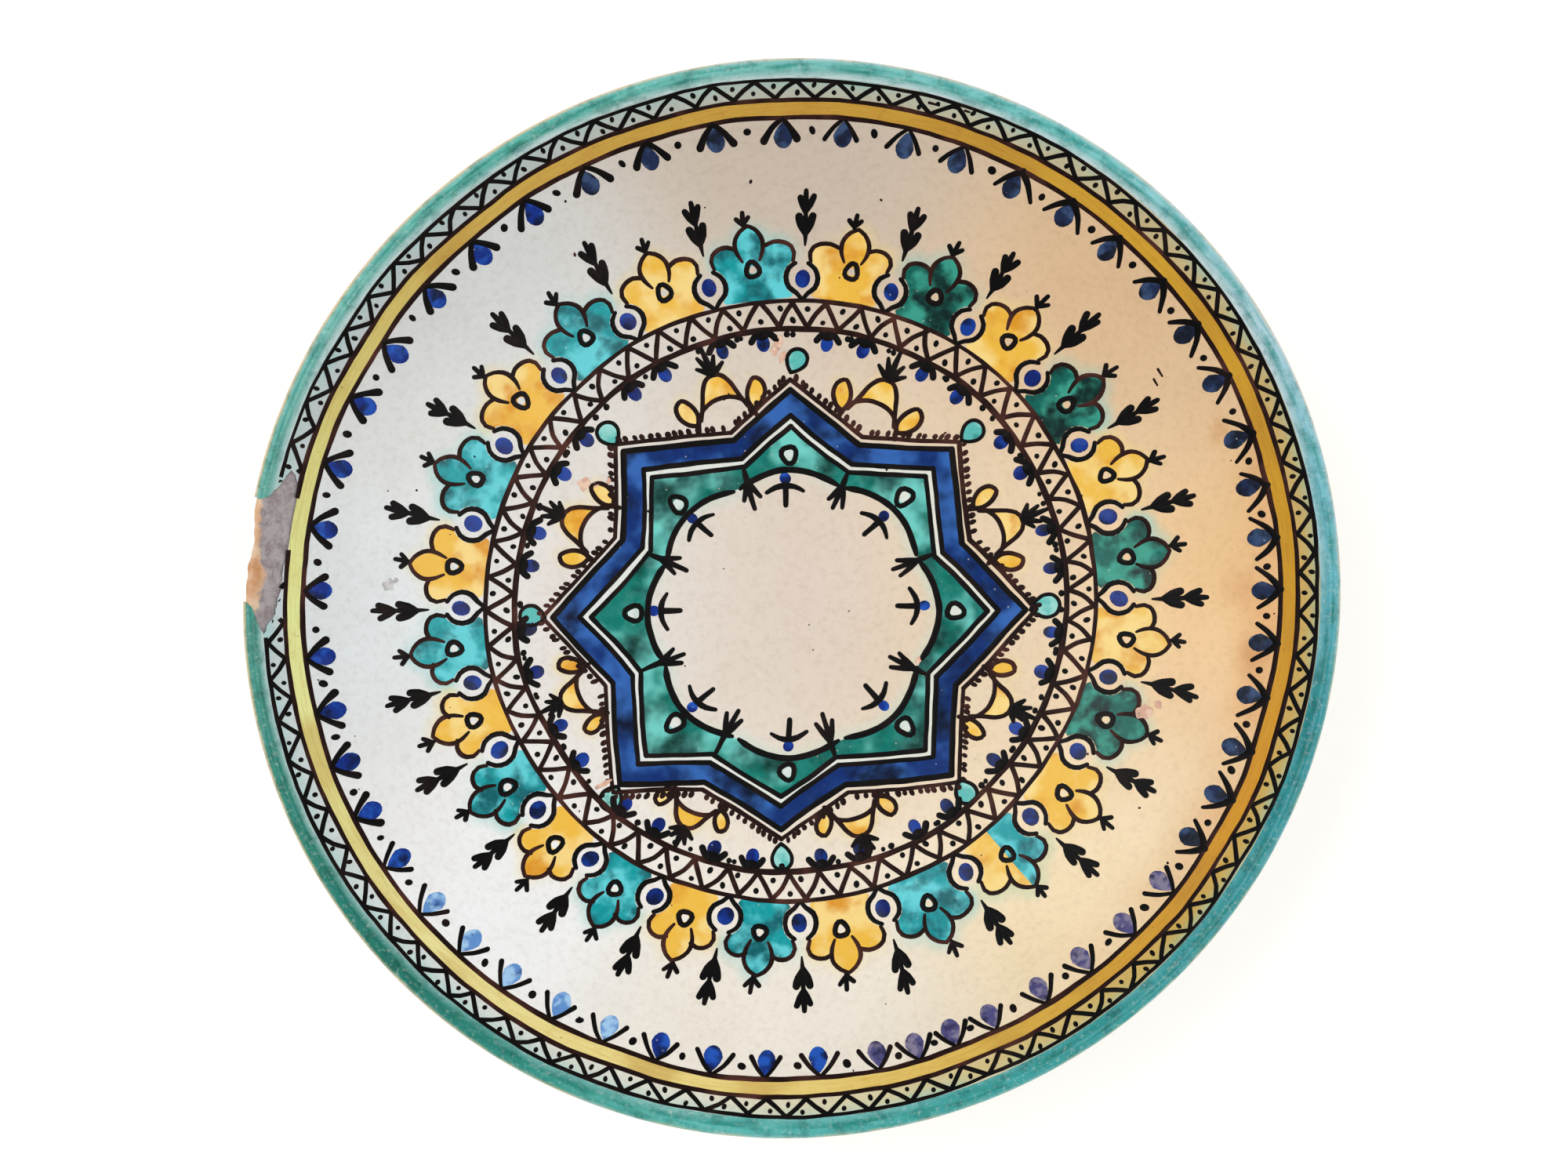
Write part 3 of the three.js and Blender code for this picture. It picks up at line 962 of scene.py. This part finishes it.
def paint_drops():
    drops, leaves, dots = [], [], []
    for i in range(32):
        turn = 22.5 * (i // 2) + (7.5, 16.0)[i % 2] + hand_luck.uniform(-0.8, 0.8)
        drops.append(dab(at(WREATH, turn, 94.2), 2.4, 3.0, turn))
        leaves.append(dab(at(WREATH, turn, 97.1), 2.6, 1.9, turn))
        for side in (-1, 1):
            size = hand_luck.uniform(0.85, 1.1)
            points = [(0, 98.4), (side * 2.4 * size, 97.4), (side * 4.5 * size, 95.0)]
            leaves.append(stroke([at(WREATH, turn, y, x) for x, y in points], [1.9, 2.4, 2.3]))
        for _ in range(2):
            away = turn + hand_luck.uniform(-0.8, 0.8) + (4.4 if i % 2 == 0 else hand_luck.choice((5.5, 8.5)))
            size = hand_luck.uniform(0.8, 1.15)
            dots.append(dab(at(WREATH, away, 97.0), size, size * 1.1))
    paint("drops", drops, COBALT_EYE, "blue_glaze", 0.045, 0.03)
    paint("drop_leaves", leaves, BLACK_LINE, "brown_line", 0.07)
    paint("drop_dots", dots, BLACK_LINE, "brown_line")


def moved_in(corners, distance):
    """A clockwise outline with each of its sides moved inwards, or outwards below zero."""
    moved = []
    for i, (x, y) in enumerate(corners):
        spot = Vector((x, y))
        arriving = (spot - Vector(corners[i - 1])).normalized()
        leaving = (Vector(corners[(i + 1) % len(corners)]) - spot).normalized()
        first = Vector((arriving.y, -arriving.x))
        both = (first + Vector((leaving.y, -leaving.x))).normalized()
        moved.append(tuple(spot + both * distance / both.dot(first)))
    return moved


STAR_OUTER = [at(STAR, turn, reach) for turn, reach in STAR_CORNERS]
STAR_BROWN = moved_in(STAR_OUTER, -BROWN_AWAY)
STAR_INNER = moved_in(STAR_OUTER, BLUE_WIDE)
STAR_GREEN = moved_in(STAR_OUTER, BLUE_WIDE + WHITE_WIDE)


def star_line(corners, width, over=0.5):
    """The sixteen strokes of one star outline."""
    strokes = []
    for i, start in enumerate(corners):
        end = corners[(i + 1) % len(corners)]
        strokes.append(bowed(start, end, width * hand_luck.uniform(0.9, 1.12), hand_luck.uniform(-over, over)))
    return strokes


def scallop_out(turn):
    """How far out the scalloped edge of the green field runs at a turn."""
    swing = (turn + 22.5) % 45 - 22.5
    middle = 52.6 + 1.6 * math.cos(math.radians(turn - 115))
    return middle - 3.6 * (abs(swing) / 22.5) ** 1.7


def ringlet_out(i):
    return 57.9 + 1.9 * math.cos(math.radians(45 * i - 105))


def paint_star():
    flood("blue_star", [[STAR_OUTER, STAR_INNER]], COBALT_BAND, "blue_glaze", nodes=("blue_star_band",))
    scallop = [at(STAR, turn, scallop_out(turn)) for turn in range(0, 360, 5)]
    holes = [small_ring(STAR, 45 * i, ringlet_out(i), 0, 2.1) for i in range(8)]
    flood("green_star", [[STAR_GREEN, scallop] + holes], COPPER_GREEN, "green_glaze",
          nodes=("green_star_field",))
    black = star_line(STAR_OUTER, 2.1) + star_line(STAR_INNER, 1.8) + star_line(STAR_GREEN, 1.8)
    paint("star_black_lines", black, BLACK_LINE, "brown_line", 0.07)
    paint("star_brown_line", star_line(STAR_BROWN, 1.6), BROWN_LINE, "brown_line")
    paint_pearls()
    arcs = []
    for i in range(8):
        swing = range(-21, 22, 3)
        edge = [at(STAR, 45 * i + turn, scallop_out(45 * i + turn)) for turn in swing]
        arcs.append(stroke(edge, [1.4] + [2.3] * (len(edge) - 2) + [1.4]))
    paint("scallop_line", arcs, BLACK_LINE, "brown_line", 0.07)
    ringlets = [ring_stroke(STAR, 45 * i, ringlet_out(i), 0, 2.7, 3.1 + 0.3 * (i % 2), 1.9) for i in range(8)]
    paint("ringlets", ringlets, BLACK_LINE, "brown_line", 0.075)
    paint_star_feet()


def paint_pearls():
    pearls = []
    beside = moved_in(STAR_BROWN, -1.7)
    for i, start in enumerate(beside):
        end = beside[(i + 1) % len(beside)]
        count = round(math.dist(start, end) / 2.8)
        for k in range(1, count):
            share = (k + hand_luck.uniform(-0.25, 0.25)) / count
            spot = tuple(a + (b - a) * share for a, b in zip(start, end))
            heading = math.degrees(math.atan2(spot[0] - STAR[0], spot[1] - STAR[1]))
            pearls.append(dab(spot, hand_luck.uniform(0.8, 1.1), hand_luck.uniform(1.1, 1.6), heading))
    paint("pearls", pearls, BROWN_LINE, "brown_line")


def paint_star_feet():
    feet, anchors, beads = [], [], []
    for i in range(8):
        turn = STAR_CORNERS[2 * i + 1][0] + hand_luck.uniform(-1.2, 1.2)
        reach = math.dist(STAR_GREEN[2 * i + 1], STAR)
        feet.append(stroke([at(STAR, turn, reach), at(STAR, turn, 52), at(STAR, turn, 48.2)], [1.3, 2.1, 2.5]))
        for across, out in ((-3.0, 43.2), (-0.4, 40.2), (2.9, 43.0)):
            long = hand_luck.uniform(-0.8, 0.8)
            toe = [(0, 50.0), (across * 0.5, 46.6), (across, out + long)]
            feet.append(stroke([at(STAR, turn, y, x) for x, y in toe], [2.1, 2.1, 1.6]))
        turn = STAR_CORNERS[2 * i][0] + hand_luck.uniform(-2, 2)
        beads.append(dab(at(STAR, turn, 48.8), 1.9, 2.1, turn))
        arc = [(-6.6, 43.8), (-3.6, 45.6), (0, 46.3), (3.4, 45.7), (6.3, 44.1)]
        anchors.append(stroke([at(STAR, turn, y, x) for x, y in arc], [1.5, 2.0, 2.3, 1.9, 1.3]))
        lean = hand_luck.uniform(-0.8, 0.8)
        anchors.append(stroke([at(STAR, turn, 46.2), at(STAR, turn, 39.2, lean)], [2.3, 1.8]))
    paint("bird_feet", feet, BLACK_LINE, "brown_line", 0.08)
    paint("anchors", anchors, BLACK_LINE, "brown_line")
    paint("blue_beads", beads, COBALT_BUD, "blue_glaze", 0.05, 0.03)


def tip_oval(turn, out, lean, grow):
    points = [(0, -4.6), (2.0, -3.0), (3.6, -0.2), (3.3, 2.6), (1.7, 4.1), (0, 4.5)]
    points += [(-x, y) for x, y in points[-2:0:-1]]
    placed = []
    for x, y in points:
        x, y = x * grow, y * grow
        tilt = math.radians(lean)
        across = x * math.cos(tilt) + (y + 4.6) * math.sin(tilt)
        away = (y + 4.6) * math.cos(tilt) - x * math.sin(tilt) - 4.6
        placed.append(at(STAR, turn, out + away, across))
    return placed


def paint_tip_ovals():
    fills, lines = [], []
    for i, lean in enumerate((24, 8, -12, 10, -6, -14, 10, 12)):
        turn = STAR_CORNERS[2 * i][0]
        out = 89.6 if i == 4 else 92.0
        grow = 1.15 if i == 2 else 1.0
        fills.append([loop(tip_oval(turn, out, lean, grow))])
        ring = tip_oval(turn, out, lean, grow)
        lines.append(stroke(ring + ring[:1], 1.4, 1.0))
    flood("tip_ovals", fills, COPPER_PALE, "turquoise_glaze")
    paint("tip_oval_lines", lines, BLACK_LINE, "brown_line", 0.07)


BELL = [(9.0, 7.6), (7.6, 11.0), (6.4, 14.4), (5.3, 17.8), (3.4, 20.9), (1.6, 22.1), (0, 22.3)]
ARCH = [(10.9, 3.6), (9.6, 8.0), (7.0, 11.2), (3.4, 13.0), (0, 13.4)]
LEAF = [(10.8, 6.0), (9.9, 9.4), (10.9, 13.6), (13.6, 16.9), (16.0, 14.8), (15.9, 10.8), (13.6, 7.4)]
FAN = ((-5.2, 26.2), (-3.2, 30.0), (-0.4, 34.2), (2.8, 29.0), (4.6, 25.8))


def flower_spot(i):
    """Lays the flower's own points over the notch it grows from, as tall as the ring allows."""
    x, y = STAR_BROWN[2 * i + 1]
    turn = math.degrees(math.atan2(x - STAR[0], y - STAR[1]))
    start = math.dist((x, y), STAR)
    toward = math.radians(turn)
    along = (x - WREATH[0]) * math.sin(toward) + (y - WREATH[1]) * math.cos(toward)
    tall = (RING_IN - along) / 34.6
    wide = 0.55 + 0.45 * min(tall, 1)
    return lambda across, out: at(STAR, turn, start + out * tall, across * wide)


def paint_flowers():
    fills, lines, fans = [], [], []
    for i in range(8):
        spot = flower_spot(i)
        bell = [(-x, y) for x, y in BELL] + BELL[-2::-1]
        under = [(9.0, 8.8), (7.0, 11.2), (3.4, 13.0), (0, 13.4), (-3.4, 13.0), (-7.0, 11.2), (-9.0, 8.8)]
        fills.append([[spot(x, y) for x, y in bell + under]])
        for side in (-1, 1):
            swell = hand_luck.uniform(1.0, 1.16)
            leaf = [(side * (12.6 + (x - 12.6) * swell), y) for x, y in LEAF]
            fills.append([loop([spot(12.9 * side + (x - 12.9 * side) * 0.93, y) for x, y in leaf])])
            lines.append(stroke([spot(x, y) for x, y in leaf + leaf[:1]], 1.7, 1.2))
            lines.append(stroke([spot(side * x, y) for x, y in BELL], 1.7, 1.4))
        arch = [(-x, y) for x, y in ARCH] + ARCH[-2::-1]
        lines.append(stroke([spot(x, y) for x, y in arch], 1.7, 1.6))
        for x, y in FAN:
            x += hand_luck.uniform(-0.5, 0.5)
            points = [spot(0.1 * x, 22.4), spot(0.5 * x, 22.4 + (y - 22.4) * 0.5), spot(x, y)]
            fans.append(stroke(points, [1.9, 2.2, 1.4]))
    flood("flowers", fills, ANTIMONY, "yellow_glaze")
    paint("flower_lines", lines, BROWN_LINE, "brown_line", 0.065)
    paint("flower_fans", fans, BLACK_LINE, "brown_line", 0.07)


def patch(turn, out, wide, tall, lean=0.0):
    """A ragged little outline round a spot of the dish."""
    cx, cy = at(MIDDLE, turn, out)
    points = []
    for k in range(0, 360, 15):
        a = math.radians(k)
        reach = 1 + 0.45 * noise.noise(Vector((math.cos(a) * 1.7, math.sin(a) * 1.7, turn + out)))
        x = wide * reach * math.cos(a)
        y = tall * reach * math.sin(a)
        tilt = math.radians(lean)
        points.append((cx + x * math.cos(tilt) + y * math.sin(tilt), cy + y * math.cos(tilt) - x * math.sin(tilt)))
    return points


def paint_wear():
    """Flakes, scratches, ash spots and rubbed places of a long used dish."""
    flakes = [
        patch(356.2, 92.0, 1.5, 3.4, 20), patch(357.4, 88.0, 1.0, 2.0, 20), patch(299.3, 86.0, 2.2, 2.6, 40),
        patch(300.4, 82.0, 1.2, 0.9, 0), patch(224.8, 95.0, 3.2, 0.8, -30), patch(116.9, 51.4, 1.0, 1.3, 20),
        patch(108.6, 132.0, 2.6, 3.0, 30), patch(107.0, 136.0, 1.2, 1.6, 0), patch(303.0, 79.0, 0.8, 1.1, 0),
    ]
    flood("flakes", [[outline] for outline in flakes], PALE_FLAKE, "white_glaze", 0.03, 0.12, 2.0)
    specks = []
    for _ in range(46):
        turn, out = hand_luck.uniform(0, 360), 172 * math.sqrt(hand_luck.random())
        size = hand_luck.choice((0.22, 0.28, 0.4))
        specks.append(dab(at(MIDDLE, turn, out), size, size * hand_luck.uniform(1, 1.5), hand_luck.uniform(0, 180)))
    for turn, out, size in ((341, 77, 0.5), (342.5, 78, 0.35), (338, 77.5, 0.4), (354, 150, 0.5), (328, 146, 0.5)):
        specks.append(dab(at(MIDDLE, turn, out), size, size * 1.5, turn + 20))
    for turn, out, long in ((57.7, 151.5, 3.0), (58.6, 148.5, 2.6), (15.0, 180.2, 3.5), (17.2, 180.9, 3.0), (19, 181, 1.6)):
        specks.append(stroke([at(MIDDLE, turn, out), at(MIDDLE, turn, out, long)], [0.9, 0.7], 0.8))
    paint("ash_spots", specks, BROWN_LINE, "brown_line", 0.05, 0.1)
    smudge = [patch(272.4, 142.8, 1.9, 2.3, 30), patch(273.1, 140.2, 0.8, 0.9, 0)]
    flood("smudge", [[outline] for outline in smudge], GREY_WASH, "brown_line", 0.03, 0.0, 2.0)


# ---------------------------------------------------------------- the ground colour

# The white ground's colour by place, with light painted in: cooler and paler on the left, warm on the right, a painted
# highlight of glare at the lower left and painted shade at the top. Part of the cream to buff change is the glaze's own
# colour.
GROUND_TONES_AND_LIGHT = [
    ((-150, 0), (225, 232, 236)), ((-110, 110), (216, 220, 221)), ((-110, -110), (247, 249, 251)),
    ((0, -150), (242, 235, 223)), ((0, 150), (206, 190, 174)), ((110, 110), (226, 190, 149)),
    ((150, 0), (244, 200, 144)), ((110, -110), (246, 222, 180)), ((0, 0), (222, 207, 195)),
    ((-70, 0), (228, 222, 216)), ((70, 0), (232, 210, 180)),
]


def mixed(first, second, share):
    return tuple(a + (b - a) * share for a, b in zip(first, second))


def fade(value, near, far):
    """1 at near, 0 at far, smooth between."""
    t = min(max((far - value) / (far - near), 0), 1)
    return t * t * (3 - 2 * t)


def ground_tone_and_light(x, y):
    total = 0.0
    colour = (0.0, 0.0, 0.0)
    for (ax, ay), near in GROUND_TONES_AND_LIGHT:
        weight = 1 / ((x - ax) ** 2 + (y - ay) ** 2 + 900) ** 1.5
        total += weight
        colour = tuple(c + weight * n for c, n in zip(colour, near))
    return tuple(c / total for c in colour)


def haze_tree(outlines):
    points = [point for outline in outlines for point in outline]
    tree = kdtree.KDTree(len(points))
    for i, (x, y) in enumerate(points):
        tree.insert((x, y, 0), i)
    tree.balance()
    return tree


def shoulders(i):
    points = []
    for side, eye in zip((-1, 1), palmette_sides(i)):
        points += curved([(x, y, 0) for x, y in palmette_side(eye, side)[1]], 1.0)
        points += curved([(side * x, y, 0) for x, y in PETAL], 1.0)
    return in_wreath(i, [(x, y) for x, y, _ in points])


def tint_ground(piece):
    copper = [shoulders(i) for i in range(25) if not is_yellow(i) or i == HALF_AND_HALF]
    copper.append([at(MIDDLE, turn / 2, 183.4) for turn in range(720)])
    copper += [small_ring(STAR, 45 * i, ringlet_out(i), 0, 0.6) for i in range(8)]
    copper_haze = haze_tree(copper)
    yellow_haze = haze_tree([shoulders(i) for i in range(25) if is_yellow(i)] + [
        [flower_spot(i)(side * x, y) for x, y in BELL[2:] + LEAF[2:5] for side in (-1, 1)] for i in range(8)])
    green_edge = haze_tree([[at(STAR, turn, scallop_out(turn)) for turn in range(360)]])
    layer = piece.data.color_attributes.new("tint", "FLOAT_COLOR", "POINT")
    for vertex in piece.data.vertices:
        x, y = vertex.co.x, vertex.co.y
        radius = math.hypot(x, y)
        # Ground colour with its painted light and shade.
        colour = ground_tone_and_light(x, y)
        # The zigzag band takes its turn colour, painted light included.
        band = fade(abs(radius - 179.6), 2.6, 4.0)
        colour = mixed(colour, tone_at(turn_of(x, y), BAND_TONES_AND_LIGHT), 0.85 * band)
        patchy = 0.6 + 0.8 * noise.noise(Vector((x / 14, y / 14, 1.5)))
        # Orange on the right wall: partly a real stain, partly painted warm light.
        edge = fade(169 - radius, 0, 18) * fade(abs(turn_of(x, y) - 104), 12, 46) * (radius < 170)
        colour = mixed(colour, (226, 150, 84), min(max(0.42 * patchy * edge, 0), 1))
        for spot, reach, share in STAINS:
            ragged = 5 * noise.noise(Vector((x / 5, y / 5, 2.5)))
            stained = patchy * fade(math.dist((x, y), spot) + ragged, 0, reach)
            colour = mixed(colour, (186, 120, 58), min(max(1.5 * share * stained, 0), 1))
        away = copper_haze.find((x, y, 0))[2]
        colour = mixed(colour, (150, 208, 204), 0.62 * patchy * fade(away, 0.3, 5.5))
        away = yellow_haze.find((x, y, 0))[2]
        colour = mixed(colour, (240, 214, 140), 0.5 * patchy * fade(away, 0.5, 4.5))
        if math.dist((x, y), STAR) < 56:
            away = green_edge.find((x, y, 0))[2]
            colour = mixed(colour, (196, 222, 210), 0.6 * patchy * fade(away, 0.5, 6.0))
        elif inside((x, y), STAR_INNER):
            colour = mixed(colour, (226, 236, 232), 0.7)
        layer.data[vertex.index].color = tone(*(min(max(c, 0), 255) for c in colour))


# Colour of the yellow ring by turn, with light and shade painted in: pale lime where light falls on the left, dark
# mustard in painted shade on the right.
RING_TONES_AND_LIGHT = [
    (0, (202, 156, 54)), (45, (212, 162, 36)), (90, (208, 152, 24)), (115, (216, 150, 20)), (140, (212, 160, 44)), (180, (238, 214, 128)),
    (225, (238, 228, 156)), (270, (230, 236, 158)), (300, (214, 200, 116)), (325, (208, 170, 74)), (360, (202, 156, 54)),
]
# Colour of the zigzag band by turn: partly its own colour, partly painted light, bluish grey on the left and warm
# yellow on the right.
BAND_TONES_AND_LIGHT = [
    (0, (186, 190, 176)), (30, (196, 188, 152)), (60, (204, 176, 112)), (90, (206, 170, 88)), (130, (204, 160, 60)),
    (160, (216, 196, 134)), (190, (228, 226, 208)), (225, (216, 226, 226)), (270, (200, 212, 216)),
    (320, (184, 196, 198)), (360, (186, 190, 176)),
]
# Colour of the copper lip by turn; the pale stretch at about 60 degrees is a painted highlight on the outer roll.
LIP_TONES_AND_HIGHLIGHT = [
    (0, (124, 192, 186)), (30, (116, 196, 196)), (60, (168, 204, 214)), (80, (120, 190, 204)), (105, (28, 138, 148)),
    (150, (46, 154, 154)), (190, (96, 186, 178)), (225, (14, 112, 96)), (270, (70, 152, 138)), (300, (110, 182, 172)),
    (330, (88, 178, 164)), (360, (124, 192, 186)),
]
STAINS = [((161, 46), 9, 0.3), ((160, -22), 11, 0.34), ((150, 60), 7, 0.18), ((158, 5), 12, 0.16)]


def tone_at(turn, tones):
    for (start, first), (end, second) in zip(tones, tones[1:]):
        if start <= turn <= end:
            return mixed(first, second, (turn - start) / (end - start))
    return tones[-1][1]


def turn_of(x, y):
    return math.degrees(math.atan2(x, y)) % 360


def tint_ring(piece):
    layer = piece.data.color_attributes.new("tint", "FLOAT_COLOR", "POINT")
    for vertex in piece.data.vertices:
        x, y, _ = vertex.co
        patchy = noise.noise(Vector((x / 22, y / 22, 6.0)))
        # Turn colour with its painted light and shade, then darker patches.
        colour = mixed(tone_at(turn_of(x, y), RING_TONES_AND_LIGHT), (176, 124, 36), min(max(patchy * 0.8, 0), 0.3))
        layer.data[vertex.index].color = tone(*colour)


def tint_lip(piece):
    """Copper colour run thin over both shoulders of the lip, buff where it wore through. The pale shoulders are partly
    painted highlight: the outer one mostly at the top, the inner one on the left and top.
    """
    layer = piece.data.color_attributes.new("tint", "FLOAT_COLOR", "POINT")
    for vertex in piece.data.vertices:
        x, y, z = vertex.co
        radius = math.hypot(x, y)
        turn = turn_of(x, y)
        way = Vector((x, y, 0)) / radius
        slow = noise.noise(way * 7)
        streak = noise.noise(Vector((way.x * 16, way.y * 16, radius * 0.75)))
        short = noise.noise(Vector((way.x * 26, way.y * 26, radius * 0.6)))
        left = fade(abs(turn - 285), 20, 95)
        top = fade(min(turn, 360 - turn), 40, 110)
        colour = tone_at(turn, LIP_TONES_AND_HIGHLIGHT)
        deep = min(max(0.4 + 1.5 * streak + 0.7 * short, 0), 1) * fade(abs(radius - 186.2), 0.8, 3.0)
        colour = mixed(colour, mixed(colour, (4, 112, 100), 0.55), deep)
        # Pale inner shoulder: thin copper, partly painted highlight on the left and top.
        pale = fade(radius, 183.4, 185.6) * (0.25 + 0.7 * max(left, top)) + 0.3 * slow
        colour = mixed(colour, (216, 228, 230), min(max(pale, 0), 0.9) * fade(radius, 184.2, 186.8))
        # Pale outer shoulder: thin copper, partly painted highlight, strongest at the top.
        pale = fade(radius, 190.2, 187.8) * (0.35 + 0.65 * top) + 0.5 * streak
        colour = mixed(colour, (210, 220, 226), min(max(pale, 0), 0.85) * fade(radius, 190.0, 186.8))
        buff = fade(radius, 190.0, 188.4) * (left * 1.2 + 0.35 + 0.8 * short)
        colour = mixed(colour, (220, 190, 142), min(max(buff, 0), 0.95))
        if z < 64:
            colour = mixed(colour, (96, 176, 168), 0.6)
        layer.data[vertex.index].color = tone(*(min(max(c, 0), 255) for c in colour))


# ---------------------------------------------------------------- clay and coats

def ragged_cutter():
    """A prism over the lost glaze, with a broken edge."""
    whole = []
    for (ax, ay), (bx, by) in zip(LOST_PLAN, LOST_PLAN[1:] + LOST_PLAN[:1]):
        count = max(1, round(math.dist((ax, ay), (bx, by)) / 0.8))
        for k in range(count):
            x = ax + (bx - ax) * k / count
            y = ay + (by - ay) * k / count
            stray = noise.noise_vector(Vector((x / 2.2, y / 2.2, 3.1)))
            whole.append((x + 0.7 * stray.x, y + 0.7 * stray.y, 1.0))
    cutter = curve_of("lost_glaze_cutter", [whole], True)
    cutter.data.fill_mode = "BOTH"
    cutter.data.extrude = 30
    cutter.location.z = 70
    only(cutter)
    bpy.ops.object.convert(target="MESH")
    cutter = bpy.context.object
    bpy.ops.object.transform_apply(location=True, rotation=True, scale=True)
    close_doubles(cutter)
    return cutter


def chip_cutter():
    """The lump of clay that broke away."""
    bpy.ops.object.select_all(action="DESELECT")
    bpy.ops.mesh.primitive_ico_sphere_add(subdivisions=5, radius=1)
    cutter = bpy.context.object
    cx, cy = at(MIDDLE, 276.3, 193.5)
    a = math.atan2(cy, cx)
    for vertex in cutter.data.vertices:
        x, y, z = vertex.co.x * 6.2, vertex.co.y * 20, vertex.co.z * 9
        spot = Vector((cx + x * math.cos(a) - y * math.sin(a), cy + x * math.sin(a) + y * math.cos(a), 66 + z))
        vertex.co = spot + 1.3 * noise.noise_vector(spot / 4.5) + 0.5 * noise.noise_vector(spot / 1.4)
    return cutter


def steps(low, high, count):
    return [low + (high - low) * i / count for i in range(count + 1)]


def make_clay():
    lip_turns = (132, 110, 90, 68, 45, 22, 0, -23, -46)
    under = [(81.6, 9.3), (68.0, 9.3), (68.0, 6.3), (40.0, 6.1), (0.0, 6.2)]
    depth = COAT + 0.05
    outline = [face_point(r, depth) for r in steps(0, FACE_RADIUS, 60)]
    outline += [lip_point(turn, depth) for turn in lip_turns]
    outline += [back_point(r, depth) for r in steps(FACE_RADIUS, 84, 26)]
    body = thrown("clay_body", outline + under, 256)
    cutter = chip_cutter()
    take_away(body, cutter)
    bpy.data.objects.remove(cutter)
    place_round(body)
    smooth(body)
    declare(body, BISCUIT, "biscuit_clay", "dish_body")

    foot_line = [(70.4, 0.5), (71.4, 0.05), (74.0, 0.0), (76.8, 0.05), (78.4, 0.6), (79.4, 1.9), (80.4, 5.4),
                 (80.9, 9.0), (68.3, 9.0), (68.6, 5.0), (69.2, 1.8), (70.4, 0.5)]
    foot = thrown("clay_foot", foot_line, 192)
    place_round(foot)
    smooth(foot)
    declare(foot, FOOT_CLAY, "biscuit_clay", "foot_ring")


def make_coats():
    cutter = ragged_cutter()
    ground_line = [face_point(r) for r in steps(0, 183.1, 92)]
    ground_line += [face_point(r, COAT) for r in steps(183.1, 0, 30)]
    ground = thrown("white_ground", ground_line, 360)
    take_away(ground, cutter)
    tint_ground(ground)
    place_round(ground)
    smooth(ground)
    declare(ground, TIN_WHITE, "white_glaze", "face_glaze")

    lip_turns = (132, 118, 104, 90, 76, 62, 48, 34, 20, 5, -12, -30, -46)
    lip_line = [face_point(183.15), (184.4, 68.2)] + [lip_point(turn) for turn in lip_turns]
    lip_line += [back_point(r) for r in steps(FACE_RADIUS, 177, 4)]
    lip_line += [back_point(r, COAT) for r in steps(177, FACE_RADIUS, 4)]
    lip_line += [lip_point(turn, COAT) for turn in lip_turns[::-1]] + [face_point(183.15, COAT), face_point(183.15)]
    lip = thrown("turquoise_lip", lip_line, 360)
    take_away(lip, cutter)
    tint_lip(lip)
    place_round(lip)
    smooth(lip)
    declare(lip, COPPER_LIP, "turquoise_glaze", "rim_glaze")

    back_line = [back_point(r) for r in steps(176.9, 83.4, 34)] + [back_point(r, COAT) for r in steps(83.4, 176.9, 34)]
    back = thrown("cream_back", back_line + back_line[:1], 300)
    place_round(back)
    smooth(back)
    declare(back, CREAM_BACK, "cream_glaze", "back_glaze")
    bpy.data.objects.remove(cutter)


def make_yellow_ring():
    top = [(r, 0.05) for r in steps(YELLOW_IN, YELLOW_OUT, 3)]
    line = [face_point(r, -up) for r, up in top + [(YELLOW_OUT, -0.05), (YELLOW_IN, -0.05), top[0]]]
    ring = thrown("yellow_ring", line, 360)
    tint_ring(ring)
    place_round(ring)
    smooth(ring)
    declare(ring, YELLOW_RING, "yellow_glaze", "yellow_band")


# ---------------------------------------------------------------- studio

def floor():
    bpy.ops.object.select_all(action="DESELECT")
    bpy.ops.mesh.primitive_plane_add(size=6)
    ground = bpy.context.object
    ground.name = "studio_floor"
    plain, _, shader = new_finish("studio_white", 0.9, 0.1)
    shader.inputs["Base Color"].default_value = tone(254, 254, 254)
    shader.inputs["Emission Color"].default_value = (1.0, 1.0, 1.0, 1.0)
    shader.inputs["Emission Strength"].default_value = 0.2
    ground.data.materials.append(plain)


def soft_light(name, place, size, power, colour):
    lamp = bpy.data.lights.new(name, "AREA")
    lamp.shape = "SQUARE"
    lamp.size = size
    lamp.energy = power
    lamp.color = colour
    holder = bpy.data.objects.new(name, lamp)
    holder.location = place
    holder.rotation_euler = (-Vector(place)).to_track_quat("-Z", "Y").to_euler()
    bpy.context.collection.objects.link(holder)


def studio():
    floor()
    soft_light("window_light", (-1.6, 0.8, 2.4), 2.4, 41, (0.96, 0.985, 1.0))
    soft_light("room_light", (1.7, -0.6, 2.4), 2.4, 34, (1.0, 0.97, 0.93))
    world = bpy.data.worlds.new("pale_room")
    bpy.context.scene.world = world
    world.use_nodes = True
    world.node_tree.nodes["Background"].inputs["Color"].default_value = (1.0, 1.0, 1.0, 1.0)
    world.node_tree.nodes["Background"].inputs["Strength"].default_value = 0.5
    camera = bpy.data.cameras.new("above")
    camera.sensor_width = 36
    camera.lens = 85.7
    camera.clip_start = 0.05
    holder = bpy.data.objects.new("above", camera)
    holder.location = (-0.00273, 0.00355, 1.37)
    bpy.context.collection.objects.link(holder)
    scene = bpy.context.scene
    scene.camera = holder
    scene.view_settings.view_transform = "Standard"
    scene.view_settings.look = "None"
    scene.view_settings.exposure = 0
    scene.view_settings.gamma = 1


make_clay()
make_coats()
make_yellow_ring()
paint_rings()
paint_buds()
paint_wreath()
paint_drops()
paint_star()
paint_tip_ovals()
paint_flowers()
paint_wear()
studio()
